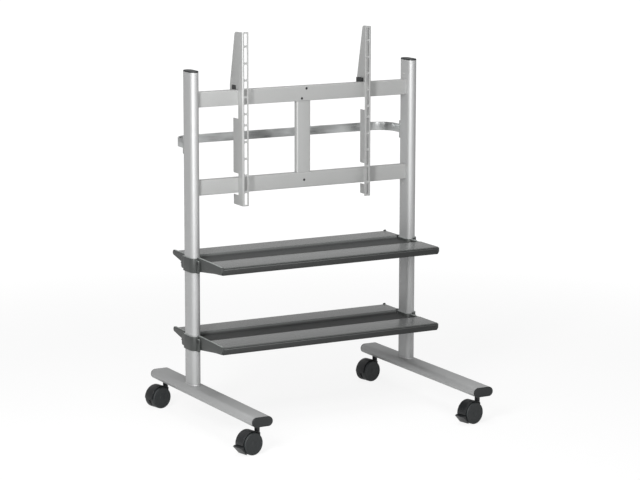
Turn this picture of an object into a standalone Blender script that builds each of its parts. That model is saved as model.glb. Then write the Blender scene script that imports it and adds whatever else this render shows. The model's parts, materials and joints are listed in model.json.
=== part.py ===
"""Television cart on castors, built from separate parts.

Two flat oval posts stand on two flat oval feet. Two crossbars and a centre upright join them,
a pair of hooked arms hangs on the crossbars for the screen, two trays are clamped to the posts,
and a flat bar bends round the back as a push handle. Each foot rolls on two twin-wheel castors.

Lengths are in metres and Z is up. The television faces -Y, and left is -X. The sizes below are
measured from the point midway between the posts on the floor, which the empty named cart holds.
"""

import math

import bmesh
import bpy
from mathutils import Matrix, Vector

# Fits that every piece shares
seat_gap = 0.0003
weld_distance = 0.00001
cut_overrun = 0.010
round_steps = 8
small_round_steps = 3
rounding_steps = 0
smooth_angle = math.radians(35)

# Posts and their caps
post_spacing = 0.900
post_depth = 0.080
post_width = 0.035
post_wall = 0.003
post_top = 1.273
post_cap_thickness = 0.005
post_cap_rounding = 0.0015
post_cap_plug = 0.016

# Feet and their end caps
castor_height = 0.100
foot_width = 0.080
foot_height = 0.035
foot_wall = 0.003
foot_length = 0.830
foot_rear = 0.280
end_cap_thickness = 0.004
end_cap_rounding = 0.0012
end_cap_plug = 0.018

# Crossbars, with the screws that hold the centre upright
bar_depth = 0.030
bar_height = 0.055
bar_wall = 0.002
bar_corner = 0.003
upper_bar_drop = 0.1005
bar_pitch = 0.318
bar_screw_x = 0.0095
bar_screw_z = 0.018
bar_screw_head_radius = 0.0045
bar_screw_head_height = 0.0020
bar_screw_shank_radius = 0.0023
bar_screw_length = 0.009
bar_screw_hole_gap = 0.0004
head_dome_share = 0.65
screw_steps = 10

# Centre upright between the crossbars
upright_width = 0.057
upright_depth = 0.0225
upright_front = 0.012
upright_corner = 0.005
upright_wall = 0.002

# Push handle and the saddles that hold it on the posts
handle_z = 1.008
handle_height = 0.032
handle_thickness = 0.005
handle_back = 0.160
handle_bend = 0.068
handle_rounding = 0.0010
saddle_width = 0.026
saddle_height = 0.066
saddle_thickness = 0.0045
saddle_wrap = 0.005
saddle_rounding = 0.0015
handle_root = 0.003

# Screen arms, folded sheet with hooks, measured from the front and from the crossbars
arm_outer_x = 0.266
arm_sheet = 0.003
arm_flange_width = 0.0247
arm_bend = 0.004
arm_front = 0.050
arm_above_bar = 0.210
arm_below_bar = 0.0462
arm_head_depth = 0.056
arm_head_drop = 0.003
arm_head_edge = 0.050
arm_shoulder_depth = 0.0615
arm_shoulder_drop = 0.0085
arm_knee_depth = 0.090
arm_knee_height = 0.062
arm_hook_depth = 0.100
arm_hook_opening_share = 0.73
arm_hook_shoulder = 0.015
arm_hook_lip_corner = 0.004
arm_back_depth = 0.074
arm_back_drop = 0.0495
arm_back_foot = 0.0185
arm_back_chamfer_depth = 0.072
arm_claw_top_gap = 0.0145
arm_claw_bottom_gap = 0.0098
arm_claw_depth = 0.072
arm_claw_height = 0.0355
bar_front_clearance = 0.0005

# Slots down the front flange of each arm
slot_width = 0.0118
slot_from_edge = 0.0111
slot_top_margin = 0.0052
slot_bridge = 0.0072
slot_length = 0.0535
slot_end_length = 0.043
slot_middle_length = 0.033
slots_per_half = 5
slot_round_steps = 4

# Glide blocks in the upper hooks
glide_depth = 0.034
glide_height = 0.0144
glide_width = 0.0143
glide_leg_gap = 0.0005
glide_corner = 0.002
glide_rounding = 0.0010
glide_notch_gap = 0.0005

# Shelf trays
upper_shelf_z = 0.602
shelf_pitch = 0.287
tray_rear = 0.150
tray_front = 0.236
tray_sheet = 0.0015
tray_fold = 0.002
tray_rear_lip = 0.022
tray_trough_rear = 0.038
tray_trough_front = 0.111
tray_trough_depth = 0.012
tray_trough_slope = 0.004
tray_front_lip = 0.028
tray_groove_top = 0.0035
tray_groove_depth = 0.0022
tray_groove_width = 0.0025
tray_bead_radius = 0.0020
tray_bead_proud = 0.0010
tray_bead_steps = 4
tray_lip_return = 0.014

# Shelf brackets: a tapering side wall, half a collar, a front corner and a ledge
bracket_wall = 0.0096
bracket_tray_gap = 0.0004
bracket_rounding = 0.0035
bracket_front = 0.245
bracket_front_rim = 0.002
bracket_middle = 0.181
bracket_middle_rim = 0.004
bracket_post_rim = 0.007
bracket_post_rim_y = 0.052
bracket_front_depth = 0.026
bracket_middle_depth = 0.030
bracket_post_depth = 0.0455
bracket_post_depth_front = 0.044
bracket_post_depth_rear = 0.060
bracket_rear_depth_y = 0.114
bracket_rear_depth = 0.032
bracket_rear_rim = 0.003
bracket_tip = 0.166
bracket_tip_depth = 0.017
bracket_nose_return = 0.0115
bracket_nose_corner = 0.009
bracket_ledge_width = 0.016
bracket_ledge_height = 0.006
bracket_ledge_front = 0.222
bracket_ledge_rear = 0.140
bracket_ledge_from_post = 0.070

# Collars that clamp the brackets to the posts
collar_wall = 0.005
collar_top = 0.002
collar_drop = 0.054
parting_gap = 0.0004
clamp_ear_from_post = 0.027
clamp_ear_height = 0.026
clamp_ear_thickness = 0.006
clamp_ear_corner = 0.008
clamp_ear_rounding = 0.0010
bolt_from_post = 0.017
bolt_drop = 0.012
bolt_head_radius = 0.0043
bolt_head_height = 0.0050
bolt_washer_radius = 0.0053
bolt_washer_height = 0.0012
bolt_shank_radius = 0.0030
bolt_reach = 0.007
bolt_hole_gap = 0.0004

# Castors: twin wheels under a hood that trails behind its swivel
castor_inset = 0.043
castor_trail = 0.035
castor_turn = math.radians(192)
wheel_radius = 0.040
wheel_width = 0.0185
wheel_inner_y = 0.0070
wheel_steps = 24
wheel_edge = 0.0022
wheel_rim_radius = 0.0325
wheel_dish_radius = 0.0305
wheel_dish_depth = 0.0012
axle_radius = 0.0040
axle_end_gap = 0.0020
axle_gap = 0.0004
hood_radius = 0.0450
hood_shell = 0.0025
hood_half_width = 0.0240
hood_low_angle = math.radians(-14)
hood_high_angle = math.radians(136)
hood_steps = 9
web_thickness = 0.0125
web_low_angle = math.radians(-52)
web_boss_radius = 0.0085
neck_radius = 0.0095
neck_foot_z = 0.0780
stem_front_wall = 0.0100
stem_pocket_floor = 0.0460
stem_pin_radius = 0.0040
stem_pin_bottom = 0.0540
stem_spigot_radius = 0.0045
stem_spigot_height = 0.018
stem_gap = 0.0005
stem_steps = 12

# Brake pedals on the front castors
pedal_gap = 0.0018
pedal_thickness = 0.0036
pedal_half_width = 0.0225
pedal_high_angle = math.radians(-17)
pedal_low_angle = math.radians(-36)
pedal_tip_angle = math.radians(-21)
pedal_tip_reach = 0.0545
pedal_tip_flat = 0.0015
pedal_steps = 4
pedal_tongue = 0.0058
pedal_slot_gap = 0.0006
pedal_pivot_radius = 0.0310
pedal_pivot_angle = math.radians(-28)
pedal_pin_radius = 0.0018
pedal_pin_gap = 0.0004
pedal_eye_radius = 0.0042
pedal_slot_clearance = 0.0014

# Places worked out from the sizes above
side_names = (("left", -1), ("right", 1))
foot_front = foot_length - foot_rear
foot_top = castor_height + foot_height
post_bottom = foot_top + seat_gap
post_x = post_spacing / 2
clamp_ear_reach = post_depth / 2 + clamp_ear_from_post
bolt_y = post_depth / 2 + bolt_from_post
tray_reach = post_x - bracket_wall - bracket_tray_gap
bar_reach = post_x - post_width / 2 - seat_gap
upper_bar_z = post_top - upper_bar_drop
lower_bar_z = upper_bar_z - bar_pitch
upper_bar_top = upper_bar_z + bar_height / 2
upper_bar_bottom = upper_bar_z - bar_height / 2
lower_bar_top = lower_bar_z + bar_height / 2
lower_bar_bottom = lower_bar_z - bar_height / 2
bar_front = bar_depth / 2
castor_front_y = castor_inset - foot_front
castor_rear_y = foot_rear - castor_inset
pedal_overhang = castor_trail + pedal_tip_reach * math.cos(pedal_tip_angle)
castor_reach = abs(math.cos(castor_turn)) * pedal_overhang + abs(math.sin(castor_turn)) * pedal_half_width
left_reach = post_x + castor_reach
right_reach = post_x + foot_width / 2
cart_centre_x = (left_reach - right_reach) / 2
cart_centre_y = (foot_front - foot_rear) / 2


def start_scene():
    """Empty the scene, and make the collections for the cart and for the shapes that cut or join."""
    for thing in list(bpy.data.objects):
        bpy.data.objects.remove(thing, do_unlink=True)
    groups = []
    for name in ("tv_cart", "cutters"):
        group = bpy.data.collections.new(name)
        bpy.context.scene.collection.children.link(group)
        groups.append(group)
    return groups


cart_pieces, cutting_shapes = start_scene()


def finish(name, colour, roughness, metallic):
    """A plain surface finish."""
    material = bpy.data.materials.new(name)
    material.use_nodes = True
    shader = material.node_tree.nodes["Principled BSDF"]
    shader.inputs["Base Color"].default_value = (*colour, 1)
    shader.inputs["Roughness"].default_value = roughness
    shader.inputs["Metallic"].default_value = metallic
    return material


silver = finish("silver_tube", (0.52, 0.52, 0.52), 0.34, 0.85)
silver_sheet = finish("silver_sheet", (0.58, 0.58, 0.58), 0.42, 0.70)
handle_steel = finish("handle_steel", (0.42, 0.43, 0.43), 0.28, 0.90)
anthracite = finish("anthracite_paint", (0.10, 0.105, 0.105), 0.42, 0.35)
bracket_grey = finish("bracket_grey", (0.085, 0.09, 0.088), 0.46, 0.20)
black_plastic = finish("black_plastic", (0.018, 0.020, 0.021), 0.42, 0.0)
wheel_black = finish("wheel_black", (0.022, 0.024, 0.025), 0.52, 0.0)
black_steel = finish("black_steel", (0.030, 0.030, 0.032), 0.40, 0.60)
glide_black = finish("glide_black", (0.020, 0.020, 0.022), 0.55, 0.0)


def holder(name, place, parent=None, turn=0):
    """An empty that a group of parts hangs on, such as everything that slides together."""
    point = bpy.data.objects.new(name, None)
    cart_pieces.objects.link(point)
    point.parent = parent
    point.location = place
    point.rotation_euler = (0, 0, turn)
    return point


def piece(name, mesh, material, parent, place=(0, 0, 0)):
    """A part of the cart."""
    thing = bpy.data.objects.new(name, mesh)
    if not mesh.materials:
        mesh.materials.append(material)
    cart_pieces.objects.link(thing)
    thing.parent = parent
    thing.location = place
    return thing


def tool_shape(name, mesh, parent=None):
    """A shape that cuts a part or is joined to it, and is no part by itself."""
    thing = bpy.data.objects.new(name, mesh)
    cutting_shapes.objects.link(thing)
    thing.parent = parent
    thing.hide_render = True
    thing.display_type = "WIRE"
    return thing


def combine(target, operation, *tools):
    """Join, cut or intersect a part with other shapes."""
    for tool in tools:
        step = target.modifiers.new(tool.name, "BOOLEAN")
        step.operation = operation
        step.solver = "EXACT"
        step.object = tool


def worked_out(thing):
    """The mesh of a shape with all its modifiers, for copies that share it."""
    depsgraph = bpy.context.evaluated_depsgraph_get()
    return bpy.data.meshes.new_from_object(thing.evaluated_get(depsgraph))


def soften(mesh):
    """Smooth shading between the faces of a curve, with the real corners kept sharp."""
    mesh.shade_smooth()
    mesh.set_sharp_from_angle(angle=smooth_angle)


def arc(centre, radius, start, end, steps):
    """Points along a circle, both ends included."""
    points = []
    for step in range(steps + 1):
        angle = start + (end - start) * step / steps
        points.append((centre[0] + radius * math.cos(angle), centre[1] + radius * math.sin(angle)))
    return points


def stadium(length, width, upright=False, steps=round_steps):
    """A flat oval outline, two straight sides with half-round ends."""
    radius = width / 2
    straight = length / 2 - radius
    quarter = math.pi / 2
    points = arc((straight, 0), radius, -quarter, quarter, steps)
    points += arc((-straight, 0), radius, quarter, 3 * quarter, steps)
    if upright:
        points = [(-up, across) for across, up in points]
    return points


def rounded_rectangle(across, up, radius, steps=small_round_steps):
    """A rectangle about its own centre, with rounded corners."""
    side = across / 2 - radius
    top = up / 2 - radius
    quarter = math.pi / 2
    points = []
    for turn, (x, y) in enumerate(((side, top), (-side, top), (-side, -top), (side, -top))):
        points += arc((x, y), radius, turn * quarter, (turn + 1) * quarter, steps)
    return points


def shifted(outline, across, up):
    """An outline moved in its plane."""
    return [(x + across, y + up) for x, y in outline]


def mirrored(outline, side):
    """An outline for the left or the right, drawn for the right."""
    return [(side * x, y) for x, y in outline]


plane_turns = {
    "plan": Matrix.Identity(4),
    "front": Matrix(((1, 0, 0, 0), (0, 0, -1, 0), (0, 1, 0, 0), (0, 0, 0, 1))),
    "side": Matrix(((0, 0, 1, 0), (1, 0, 0, 0), (0, 1, 0, 0), (0, 0, 0, 1))),
}
plane_normals = {"plan": Vector((0, 0, 1)), "front": Vector((0, 1, 0)), "side": Vector((1, 0, 0))}


def plate(outlines, plane, low, high, rounding=0):
    """Flat outlines, the first one round the others, made solid from one depth to another.

    A plan outline is drawn in X and Y, a front outline in X and Z, a side outline in Y and Z.
    """
    curve = bpy.data.curves.new("outline", "CURVE")
    curve.dimensions = "2D"
    curve.fill_mode = "BOTH"
    curve.extrude = (high - low) / 2 - rounding
    curve.bevel_depth = rounding
    curve.bevel_resolution = rounding_steps
    curve.offset = -rounding
    for outline in outlines:
        spline = curve.splines.new("POLY")
        spline.points.add(len(outline) - 1)
        for point, (across, up) in zip(spline.points, outline):
            point.co = (across, up, 0, 1)
        spline.use_cyclic_u = True
    drawn = bpy.data.objects.new("outline", curve)
    cutting_shapes.objects.link(drawn)
    mesh = worked_out(drawn)
    bpy.data.objects.remove(drawn, do_unlink=True)
    bpy.data.curves.remove(curve)
    middle = plane_normals[plane] * ((low + high) / 2)
    mesh.transform(Matrix.Translation(middle) @ plane_turns[plane])
    shape = bmesh.new()
    shape.from_mesh(mesh)
    bmesh.ops.remove_doubles(shape, verts=shape.verts, dist=weld_distance)
    bmesh.ops.recalc_face_normals(shape, faces=shape.faces)
    shape.to_mesh(mesh)
    shape.free()
    mesh.materials.clear()
    soften(mesh)
    return mesh


def cylinder(radius, low, high, axis, steps=screw_steps, place=(0, 0)):
    """A round bar along an axis, at a place in the plane square to it."""
    outline = shifted(arc((0, 0), radius, 0, 2 * math.pi * (1 - 1 / steps), steps - 1), *place)
    planes = {"x": "side", "y": "front", "z": "plan"}
    return plate([outline], planes[axis], low, high)


def turned_mesh(profile, steps, closed=False):
    """A profile of radius and height, from the top down its outer side, turned about Z."""
    mesh = bpy.data.meshes.new("turned")
    edges = [(index, index + 1) for index in range(len(profile) - 1)]
    if closed:
        edges.append((len(profile) - 1, 0))
    mesh.from_pydata([(radius, 0, height) for radius, height in profile], edges, [])
    thing = bpy.data.objects.new("turned", mesh)
    cutting_shapes.objects.link(thing)
    screw = thing.modifiers.new("turn", "SCREW")
    screw.axis = "Z"
    screw.steps = steps
    screw.render_steps = steps
    screw.use_merge_vertices = True
    screw.merge_threshold = weld_distance
    screw.use_smooth_shade = True
    result = worked_out(thing)
    bpy.data.objects.remove(thing, do_unlink=True)
    bpy.data.meshes.remove(mesh)
    soften(result)
    return result


def screw_profile(head_radius, head_height, shank_radius, length, washer_radius=0, washer_height=0):
    """A dome-headed screw whose head, or washer, seats at height zero."""
    top = head_height + washer_height
    dome = washer_height + head_height * head_dome_share
    profile = [(0, top), (head_radius * head_dome_share, top), (head_radius, dome)]
    if washer_radius:
        profile += [(head_radius, washer_height), (washer_radius, washer_height), (washer_radius, 0)]
    else:
        profile.append((head_radius, 0))
    return profile + [(shank_radius, 0), (shank_radius, -length), (0, -length)]


def make_posts(cart):
    """Flat oval tubes with a plug cap in the open top."""
    tube = [
        stadium(post_depth, post_width, upright=True),
        stadium(post_depth - 2 * post_wall, post_width - 2 * post_wall, upright=True),
    ]
    plug_shrink = 2 * (post_wall + seat_gap)
    plug = [stadium(post_depth - plug_shrink, post_width - plug_shrink, upright=True)]
    lid = [stadium(post_depth, post_width, upright=True)]
    cap_bottom = post_top + seat_gap
    cap_top = cap_bottom + post_cap_thickness
    for name, side in side_names:
        place = (side * post_x, 0, 0)
        piece(name + "_post", plate(tube, "plan", post_bottom, post_top), silver, cart, place)
        cap_mesh = plate(lid, "plan", cap_bottom, cap_top, post_cap_rounding)
        cap = piece(name + "_post_cap", cap_mesh, black_plastic, cart, place)
        plug_top = cap_bottom + post_cap_thickness / 2
        plug_mesh = plate(plug, "plan", post_top - post_cap_plug, plug_top)
        stopper = tool_shape(name + "_post_cap_plug", plug_mesh, cart)
        stopper.location = place
        combine(cap, "UNION", stopper)


def make_feet(cart):
    """Flat oval tubes lying front to back, plugged at both ends, with holes for the castor stems."""
    tube = [
        stadium(foot_width, foot_height),
        stadium(foot_width - 2 * foot_wall, foot_height - 2 * foot_wall),
    ]
    plug_shrink = 2 * (foot_wall + seat_gap)
    plug = [stadium(foot_width - plug_shrink, foot_height - plug_shrink)]
    lid = [stadium(foot_width, foot_height)]
    cap_space = end_cap_thickness + seat_gap
    middle_z = castor_height + foot_height / 2
    hole_radius = stem_spigot_radius + stem_gap
    for name, side in side_names:
        place = (side * post_x, 0, middle_z)
        foot_mesh = plate(tube, "front", cap_space - foot_front, foot_rear - cap_space)
        foot = piece(name + "_foot", foot_mesh, silver, cart, place)
        for end, hole_y in (("front", castor_front_y), ("rear", castor_rear_y)):
            hole_mesh = cylinder(hole_radius, -foot_height, 0, "z", stem_steps, (0, hole_y))
            hole = tool_shape(name + "_foot_" + end + "_hole", hole_mesh, cart)
            hole.location = place
            combine(foot, "DIFFERENCE", hole)
        for end, tip, inward in (("front", -foot_front, 1), ("rear", foot_rear, -1)):
            inner = tip + inward * end_cap_thickness
            lid_mesh = plate(lid, "front", min(tip, inner), max(tip, inner), end_cap_rounding)
            cap = piece(name + "_foot_" + end + "_cap", lid_mesh, black_plastic, cart, place)
            root = tip + inward * end_cap_thickness / 2
            plug_tip = inner + inward * end_cap_plug
            plug_mesh = plate(plug, "front", min(root, plug_tip), max(root, plug_tip))
            stopper = tool_shape(name + "_foot_" + end + "_plug", plug_mesh, cart)
            stopper.location = place
            combine(cap, "UNION", stopper)


def make_crossbars(cart):
    """Two box tubes between the posts, the upright between them and the screws that hold it."""
    tube = [
        rounded_rectangle(bar_depth, bar_height, bar_corner),
        rounded_rectangle(bar_depth - 2 * bar_wall, bar_height - 2 * bar_wall, bar_corner - bar_wall),
    ]
    screws = {
        "upper": ((bar_screw_x, bar_screw_z), (-bar_screw_x, -bar_screw_z)),
        "lower": ((0, 0),),
    }
    profile = screw_profile(
        bar_screw_head_radius, bar_screw_head_height, bar_screw_shank_radius, bar_screw_length
    )
    for name, bar_z in (("upper", upper_bar_z), ("lower", lower_bar_z)):
        bar_mesh = plate(tube, "side", -bar_reach, bar_reach)
        bar = piece(name + "_crossbar", bar_mesh, silver_sheet, cart, (0, 0, bar_z))
        for number, (screw_x, screw_z) in enumerate(screws[name], 1):
            hole_mesh = cylinder(
                bar_screw_shank_radius + bar_screw_hole_gap, -bar_front - cut_overrun, 0, "y",
                screw_steps, (screw_x, screw_z),
            )
            hole = tool_shape(f"{name}_crossbar_hole_{number}", hole_mesh, cart)
            hole.location = (0, 0, bar_z)
            combine(bar, "DIFFERENCE", hole)
            place = (screw_x, -bar_front - seat_gap, bar_z + screw_z)
            screw_name = f"{name}_crossbar_screw_{number}"
            screw = piece(screw_name, turned_mesh(profile, screw_steps), black_steel, cart, place)
            screw.rotation_euler = (math.pi / 2, 0, 0)
    box = [
        rounded_rectangle(upright_width, upright_depth, upright_corner),
        rounded_rectangle(
            upright_width - 2 * upright_wall, upright_depth - 2 * upright_wall,
            upright_corner - upright_wall,
        ),
    ]
    upright_mesh = plate(box, "plan", lower_bar_top + seat_gap, upper_bar_bottom - seat_gap)
    upright_y = upright_depth / 2 - upright_front
    piece("centre_upright", upright_mesh, silver_sheet, cart, (0, upright_y, 0))


def make_push_handle(cart):
    """A flat bar bent round the back, with a saddle at each end that fits the rear of the post."""
    half = handle_thickness / 2
    corner_x = post_x - handle_bend
    corner_y = handle_back - handle_bend
    root_y = post_depth / 2 + seat_gap + saddle_thickness - handle_root
    quarter = math.pi / 2
    outer = arc((corner_x, corner_y), handle_bend + half, 0, quarter, round_steps)
    inner = arc((corner_x, corner_y), handle_bend - half, 0, quarter, round_steps)
    outer_path = [(post_x + half, root_y)] + outer
    inner_path = [(post_x - half, root_y)] + inner
    left_outer = [(-x, y) for x, y in reversed(outer_path)]
    left_inner = [(-x, y) for x, y in inner_path]
    outline = outer_path + left_outer + left_inner + list(reversed(inner_path))
    low = -handle_height / 2
    high = handle_height / 2
    bar_mesh = plate([outline], "plan", low, high, handle_rounding)
    handle = piece("push_handle", bar_mesh, handle_steel, cart, (0, 0, handle_z))
    post_outline = stadium(post_depth + 2 * seat_gap, post_width + 2 * seat_gap, upright=True)
    saddle_front = post_depth / 2 - saddle_wrap
    saddle_back = post_depth / 2 + seat_gap + saddle_thickness
    saddle_middle = (saddle_front + saddle_back) / 2
    saddle_outline = rounded_rectangle(saddle_width, saddle_back - saddle_front, saddle_rounding)
    reach = saddle_height / 2
    for name, side in side_names:
        saddle_mesh = plate(
            [shifted(saddle_outline, side * post_x, saddle_middle)], "plan", -reach, reach
        )
        saddle = tool_shape(name + "_handle_saddle", saddle_mesh, cart)
        post_mesh = plate(
            [shifted(post_outline, side * post_x, 0)], "plan", -reach - cut_overrun, reach + cut_overrun
        )
        seat = tool_shape(name + "_handle_seat", post_mesh, cart)
        for tool in (saddle, seat):
            tool.location = (0, 0, handle_z)
        combine(handle, "UNION", saddle)
        combine(handle, "DIFFERENCE", seat)


def arm_silhouette():
    """The side view of an arm as Y and Z: the hook over the upper bar, the back and the lower claw."""
    front = -arm_front - cut_overrun
    top = upper_bar_top + arm_above_bar
    bottom = lower_bar_bottom - arm_below_bar
    bar_clear_front = -bar_front - bar_front_clearance
    hook_back = arm_hook_depth - arm_front
    hook_inner = hook_back * arm_hook_opening_share
    notch_front = hook_inner - glide_depth - 2 * glide_notch_gap
    notch_top = upper_bar_top + glide_height + 3 * seat_gap
    claw_top = lower_bar_bottom - arm_claw_bottom_gap
    return [
        (front, bottom),
        (-arm_front, bottom),
        (arm_claw_depth - arm_front, claw_top - arm_claw_height),
        (arm_claw_depth - arm_front, claw_top),
        (bar_clear_front, claw_top),
        (bar_clear_front, lower_bar_top + arm_claw_top_gap),
        (arm_back_chamfer_depth - arm_front, lower_bar_top + arm_claw_top_gap),
        (arm_back_depth - arm_front, lower_bar_top + arm_back_foot),
        (arm_back_depth - arm_front, upper_bar_bottom - arm_back_drop),
        (bar_clear_front, upper_bar_bottom - arm_back_drop),
        (bar_clear_front, upper_bar_top + bar_front_clearance),
        (notch_front, upper_bar_top + bar_front_clearance),
        (notch_front, notch_top),
        (hook_inner, notch_top),
        (hook_inner, upper_bar_z),
        (hook_back - arm_hook_lip_corner, upper_bar_z),
        (hook_back, upper_bar_z + arm_hook_lip_corner),
        (hook_back, upper_bar_top + arm_hook_shoulder),
        (arm_knee_depth - arm_front, upper_bar_top + arm_knee_height),
        (arm_shoulder_depth - arm_front, top - arm_shoulder_drop),
        (arm_head_depth - arm_front, top - arm_head_drop),
        (arm_head_edge - arm_front, top),
        (front, top),
    ]


def arm_fold(side):
    """The plan of the folded sheet: the side plate, the rounded bend and the front flange."""
    back = arm_hook_depth - arm_front + cut_overrun
    inner_bend = arm_bend - arm_sheet
    half_turn = math.pi
    outer = arc((-arm_bend, arm_bend - arm_front), arm_bend, 0, -half_turn / 2, small_round_steps)
    inner = arc((-arm_bend, arm_bend - arm_front), inner_bend, -half_turn / 2, 0, small_round_steps)
    outline = [(0, back)] + outer
    outline += [(-arm_flange_width, -arm_front), (-arm_flange_width, arm_sheet - arm_front)]
    outline += inner + [(-arm_sheet, back)]
    return mirrored(outline, side)


def slot_outlines(side):
    """The row of slots in the flange, longest in the body, shorter at the ends and in the middle."""
    lengths = [slot_end_length] + [slot_length] * (slots_per_half - 1) + [slot_middle_length]
    lengths += [slot_length] * (slots_per_half - 1) + [slot_end_length]
    top = upper_bar_top + arm_above_bar - slot_top_margin
    outlines = []
    for length in lengths:
        slot = stadium(length, slot_width, upright=True, steps=slot_round_steps)
        outlines.append(shifted(slot, -side * (arm_flange_width - slot_from_edge), top - length / 2))
        top -= length + slot_bridge
    return outlines


def make_screen_arms(cart):
    """Folded sheet arms that hang on the upper bar and slide along it, each with a glide block."""
    top = upper_bar_top + arm_above_bar
    bottom = lower_bar_bottom - arm_below_bar
    glide_back = (arm_hook_depth - arm_front) * arm_hook_opening_share - glide_notch_gap
    glide_front = glide_back - glide_depth
    glide_top = upper_bar_top + seat_gap + glide_height
    glide_outline = [
        (glide_front, upper_bar_top + seat_gap),
        (bar_front + glide_leg_gap, upper_bar_top + seat_gap),
        (bar_front + glide_leg_gap, upper_bar_z),
        (glide_back, upper_bar_z),
        (glide_back, glide_top - glide_corner),
        (glide_back - glide_corner, glide_top),
        (glide_front + glide_corner, glide_top),
        (glide_front, glide_top - glide_corner),
    ]
    for name, side in side_names:
        slide = holder(name + "_arm_slide", (side * arm_outer_x, 0, 0), cart)
        fold_mesh = plate([arm_fold(side)], "plan", bottom - cut_overrun, top + cut_overrun)
        arm = piece(name + "_screen_arm", fold_mesh, silver_sheet, slide)
        view_mesh = plate(
            [arm_silhouette()], "side", -arm_flange_width - cut_overrun, arm_flange_width + cut_overrun
        )
        view = tool_shape(name + "_arm_side_view", view_mesh, slide)
        combine(arm, "INTERSECT", view)
        slot_mesh = plate(
            slot_outlines(side), "front", -arm_front - cut_overrun, arm_sheet - arm_front + cut_overrun
        )
        slots = tool_shape(name + "_arm_slots", slot_mesh, slide)
        combine(arm, "DIFFERENCE", slots)
        near = -side * glide_notch_gap
        far = near - side * glide_width
        glide_mesh = plate([glide_outline], "side", min(near, far), max(near, far), glide_rounding)
        piece(name + "_arm_glide", glide_mesh, glide_black, slide)


def tray_section():
    """The sheet of a tray as Y and Z, its top at height zero: rear lip, trough and front lip."""
    low = tray_trough_depth
    sheet = tray_sheet
    rear = tray_rear
    front = -tray_front
    slope = tray_trough_slope
    groove_top = -tray_groove_top
    groove_in = front + tray_groove_depth
    groove_bottom = groove_top - tray_groove_width
    bead_middle = groove_bottom - tray_bead_radius
    face = front + tray_bead_proud
    upper = [
        (rear, -tray_rear_lip),
        (rear, -tray_fold),
        (rear - tray_fold, 0),
        (tray_trough_rear, 0),
        (tray_trough_rear - slope, -low),
        (slope - tray_trough_front, -low),
        (-tray_trough_front, 0),
        (front + tray_fold / 2, 0),
        (front, -tray_fold / 2),
        (front, groove_top),
        (groove_in, groove_top - tray_groove_width / 3),
        (groove_in, groove_bottom),
    ]
    upper += arc((face, bead_middle), tray_bead_radius, math.pi / 2, 3 * math.pi / 2, tray_bead_steps)
    upper += [
        (face, -tray_front_lip + tray_fold),
        (face + tray_fold, -tray_front_lip),
        (face + tray_lip_return, -tray_front_lip),
    ]
    inner_face = groove_in + sheet
    lower = [
        (face + tray_lip_return, sheet - tray_front_lip),
        (inner_face + tray_fold / 2, sheet - tray_front_lip),
        (inner_face, sheet + tray_fold / 2 - tray_front_lip),
        (inner_face, -sheet),
        (-tray_trough_front - sheet / 2, -sheet),
        (slope - tray_trough_front - sheet / 2, -low - sheet),
        (tray_trough_rear - slope + sheet / 2, -low - sheet),
        (tray_trough_rear + sheet / 2, -sheet),
        (rear - tray_fold, -sheet),
        (rear - sheet, -tray_fold),
        (rear - sheet, -tray_rear_lip),
    ]
    return upper + lower


def bracket_side_view():
    """The side wall of a bracket as Y and Z: deepest at the post and tapering to both ends."""
    tip_middle = (bracket_rear_rim - bracket_tip_depth) / 2
    tip_radius = (bracket_rear_rim + bracket_tip_depth) / 2
    tip = arc(
        (bracket_tip - tip_radius, tip_middle), tip_radius, -math.pi / 2, math.pi / 2, small_round_steps
    )
    return [
        (-bracket_front, -bracket_front_depth),
        (-bracket_middle, -bracket_middle_depth),
        (-bracket_post_depth_front, -bracket_post_depth),
        (bracket_post_depth_rear, -bracket_post_depth),
        (bracket_rear_depth_y, -bracket_rear_depth),
    ] + tip + [
        (bracket_post_rim_y, bracket_rear_rim),
        (-bracket_post_rim_y, bracket_post_rim),
        (-bracket_middle, bracket_middle_rim),
        (-bracket_front, bracket_front_rim),
    ]


def half_collar(side, inner_side):
    """Half of the collar round a post, seen in plan about the post's centre."""
    radius = post_width / 2 + collar_wall
    straight = post_depth / 2 - post_width / 2
    quarter = math.pi / 2
    outline = arc((parting_gap / 2, -straight), radius, -quarter, 0, round_steps // 2)
    outline += arc((parting_gap / 2, straight), radius, 0, quarter, round_steps // 2)
    direction = -side if inner_side else side
    return mirrored(outline, direction)


def bracket_nose(side):
    """The corner of a bracket that wraps the end of the tray's front lip, seen in plan."""
    inner = -bracket_wall
    front = -bracket_front
    lip = -tray_front - tray_bead_proud - seat_gap
    corner = arc(
        (-bracket_nose_corner, front + bracket_nose_corner), bracket_nose_corner, 0, -math.pi / 2,
        small_round_steps,
    )
    outline = [(-seat_gap, -bracket_middle)] + corner
    outline += [(-bracket_nose_return, front), (-bracket_nose_return, lip)]
    outline += [(inner, lip), (inner, -bracket_middle)]
    return mirrored(outline, side)


def ledge_views():
    """The side views of the two ledges that carry the tray's ends, under its lower surface."""
    under = -tray_sheet - seat_gap
    trough_under = -tray_trough_depth - tray_sheet - seat_gap
    slope_foot = tray_trough_slope - tray_trough_front - tray_sheet
    slope_head = -tray_trough_front - tray_sheet
    front = [
        (-bracket_ledge_front, under),
        (-bracket_ledge_front, under - bracket_ledge_height),
        (slope_head - bracket_ledge_height, under - bracket_ledge_height),
        (slope_foot - bracket_ledge_height, trough_under - bracket_ledge_height),
        (-bracket_ledge_from_post, trough_under - bracket_ledge_height),
        (-bracket_ledge_from_post, trough_under),
        (slope_foot, trough_under),
        (slope_head, under),
    ]
    rear = [
        (bracket_ledge_from_post, under),
        (bracket_ledge_from_post, under - bracket_ledge_height),
        (bracket_ledge_rear, under - bracket_ledge_height),
        (bracket_ledge_rear, under),
    ]
    return front, rear


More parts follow.
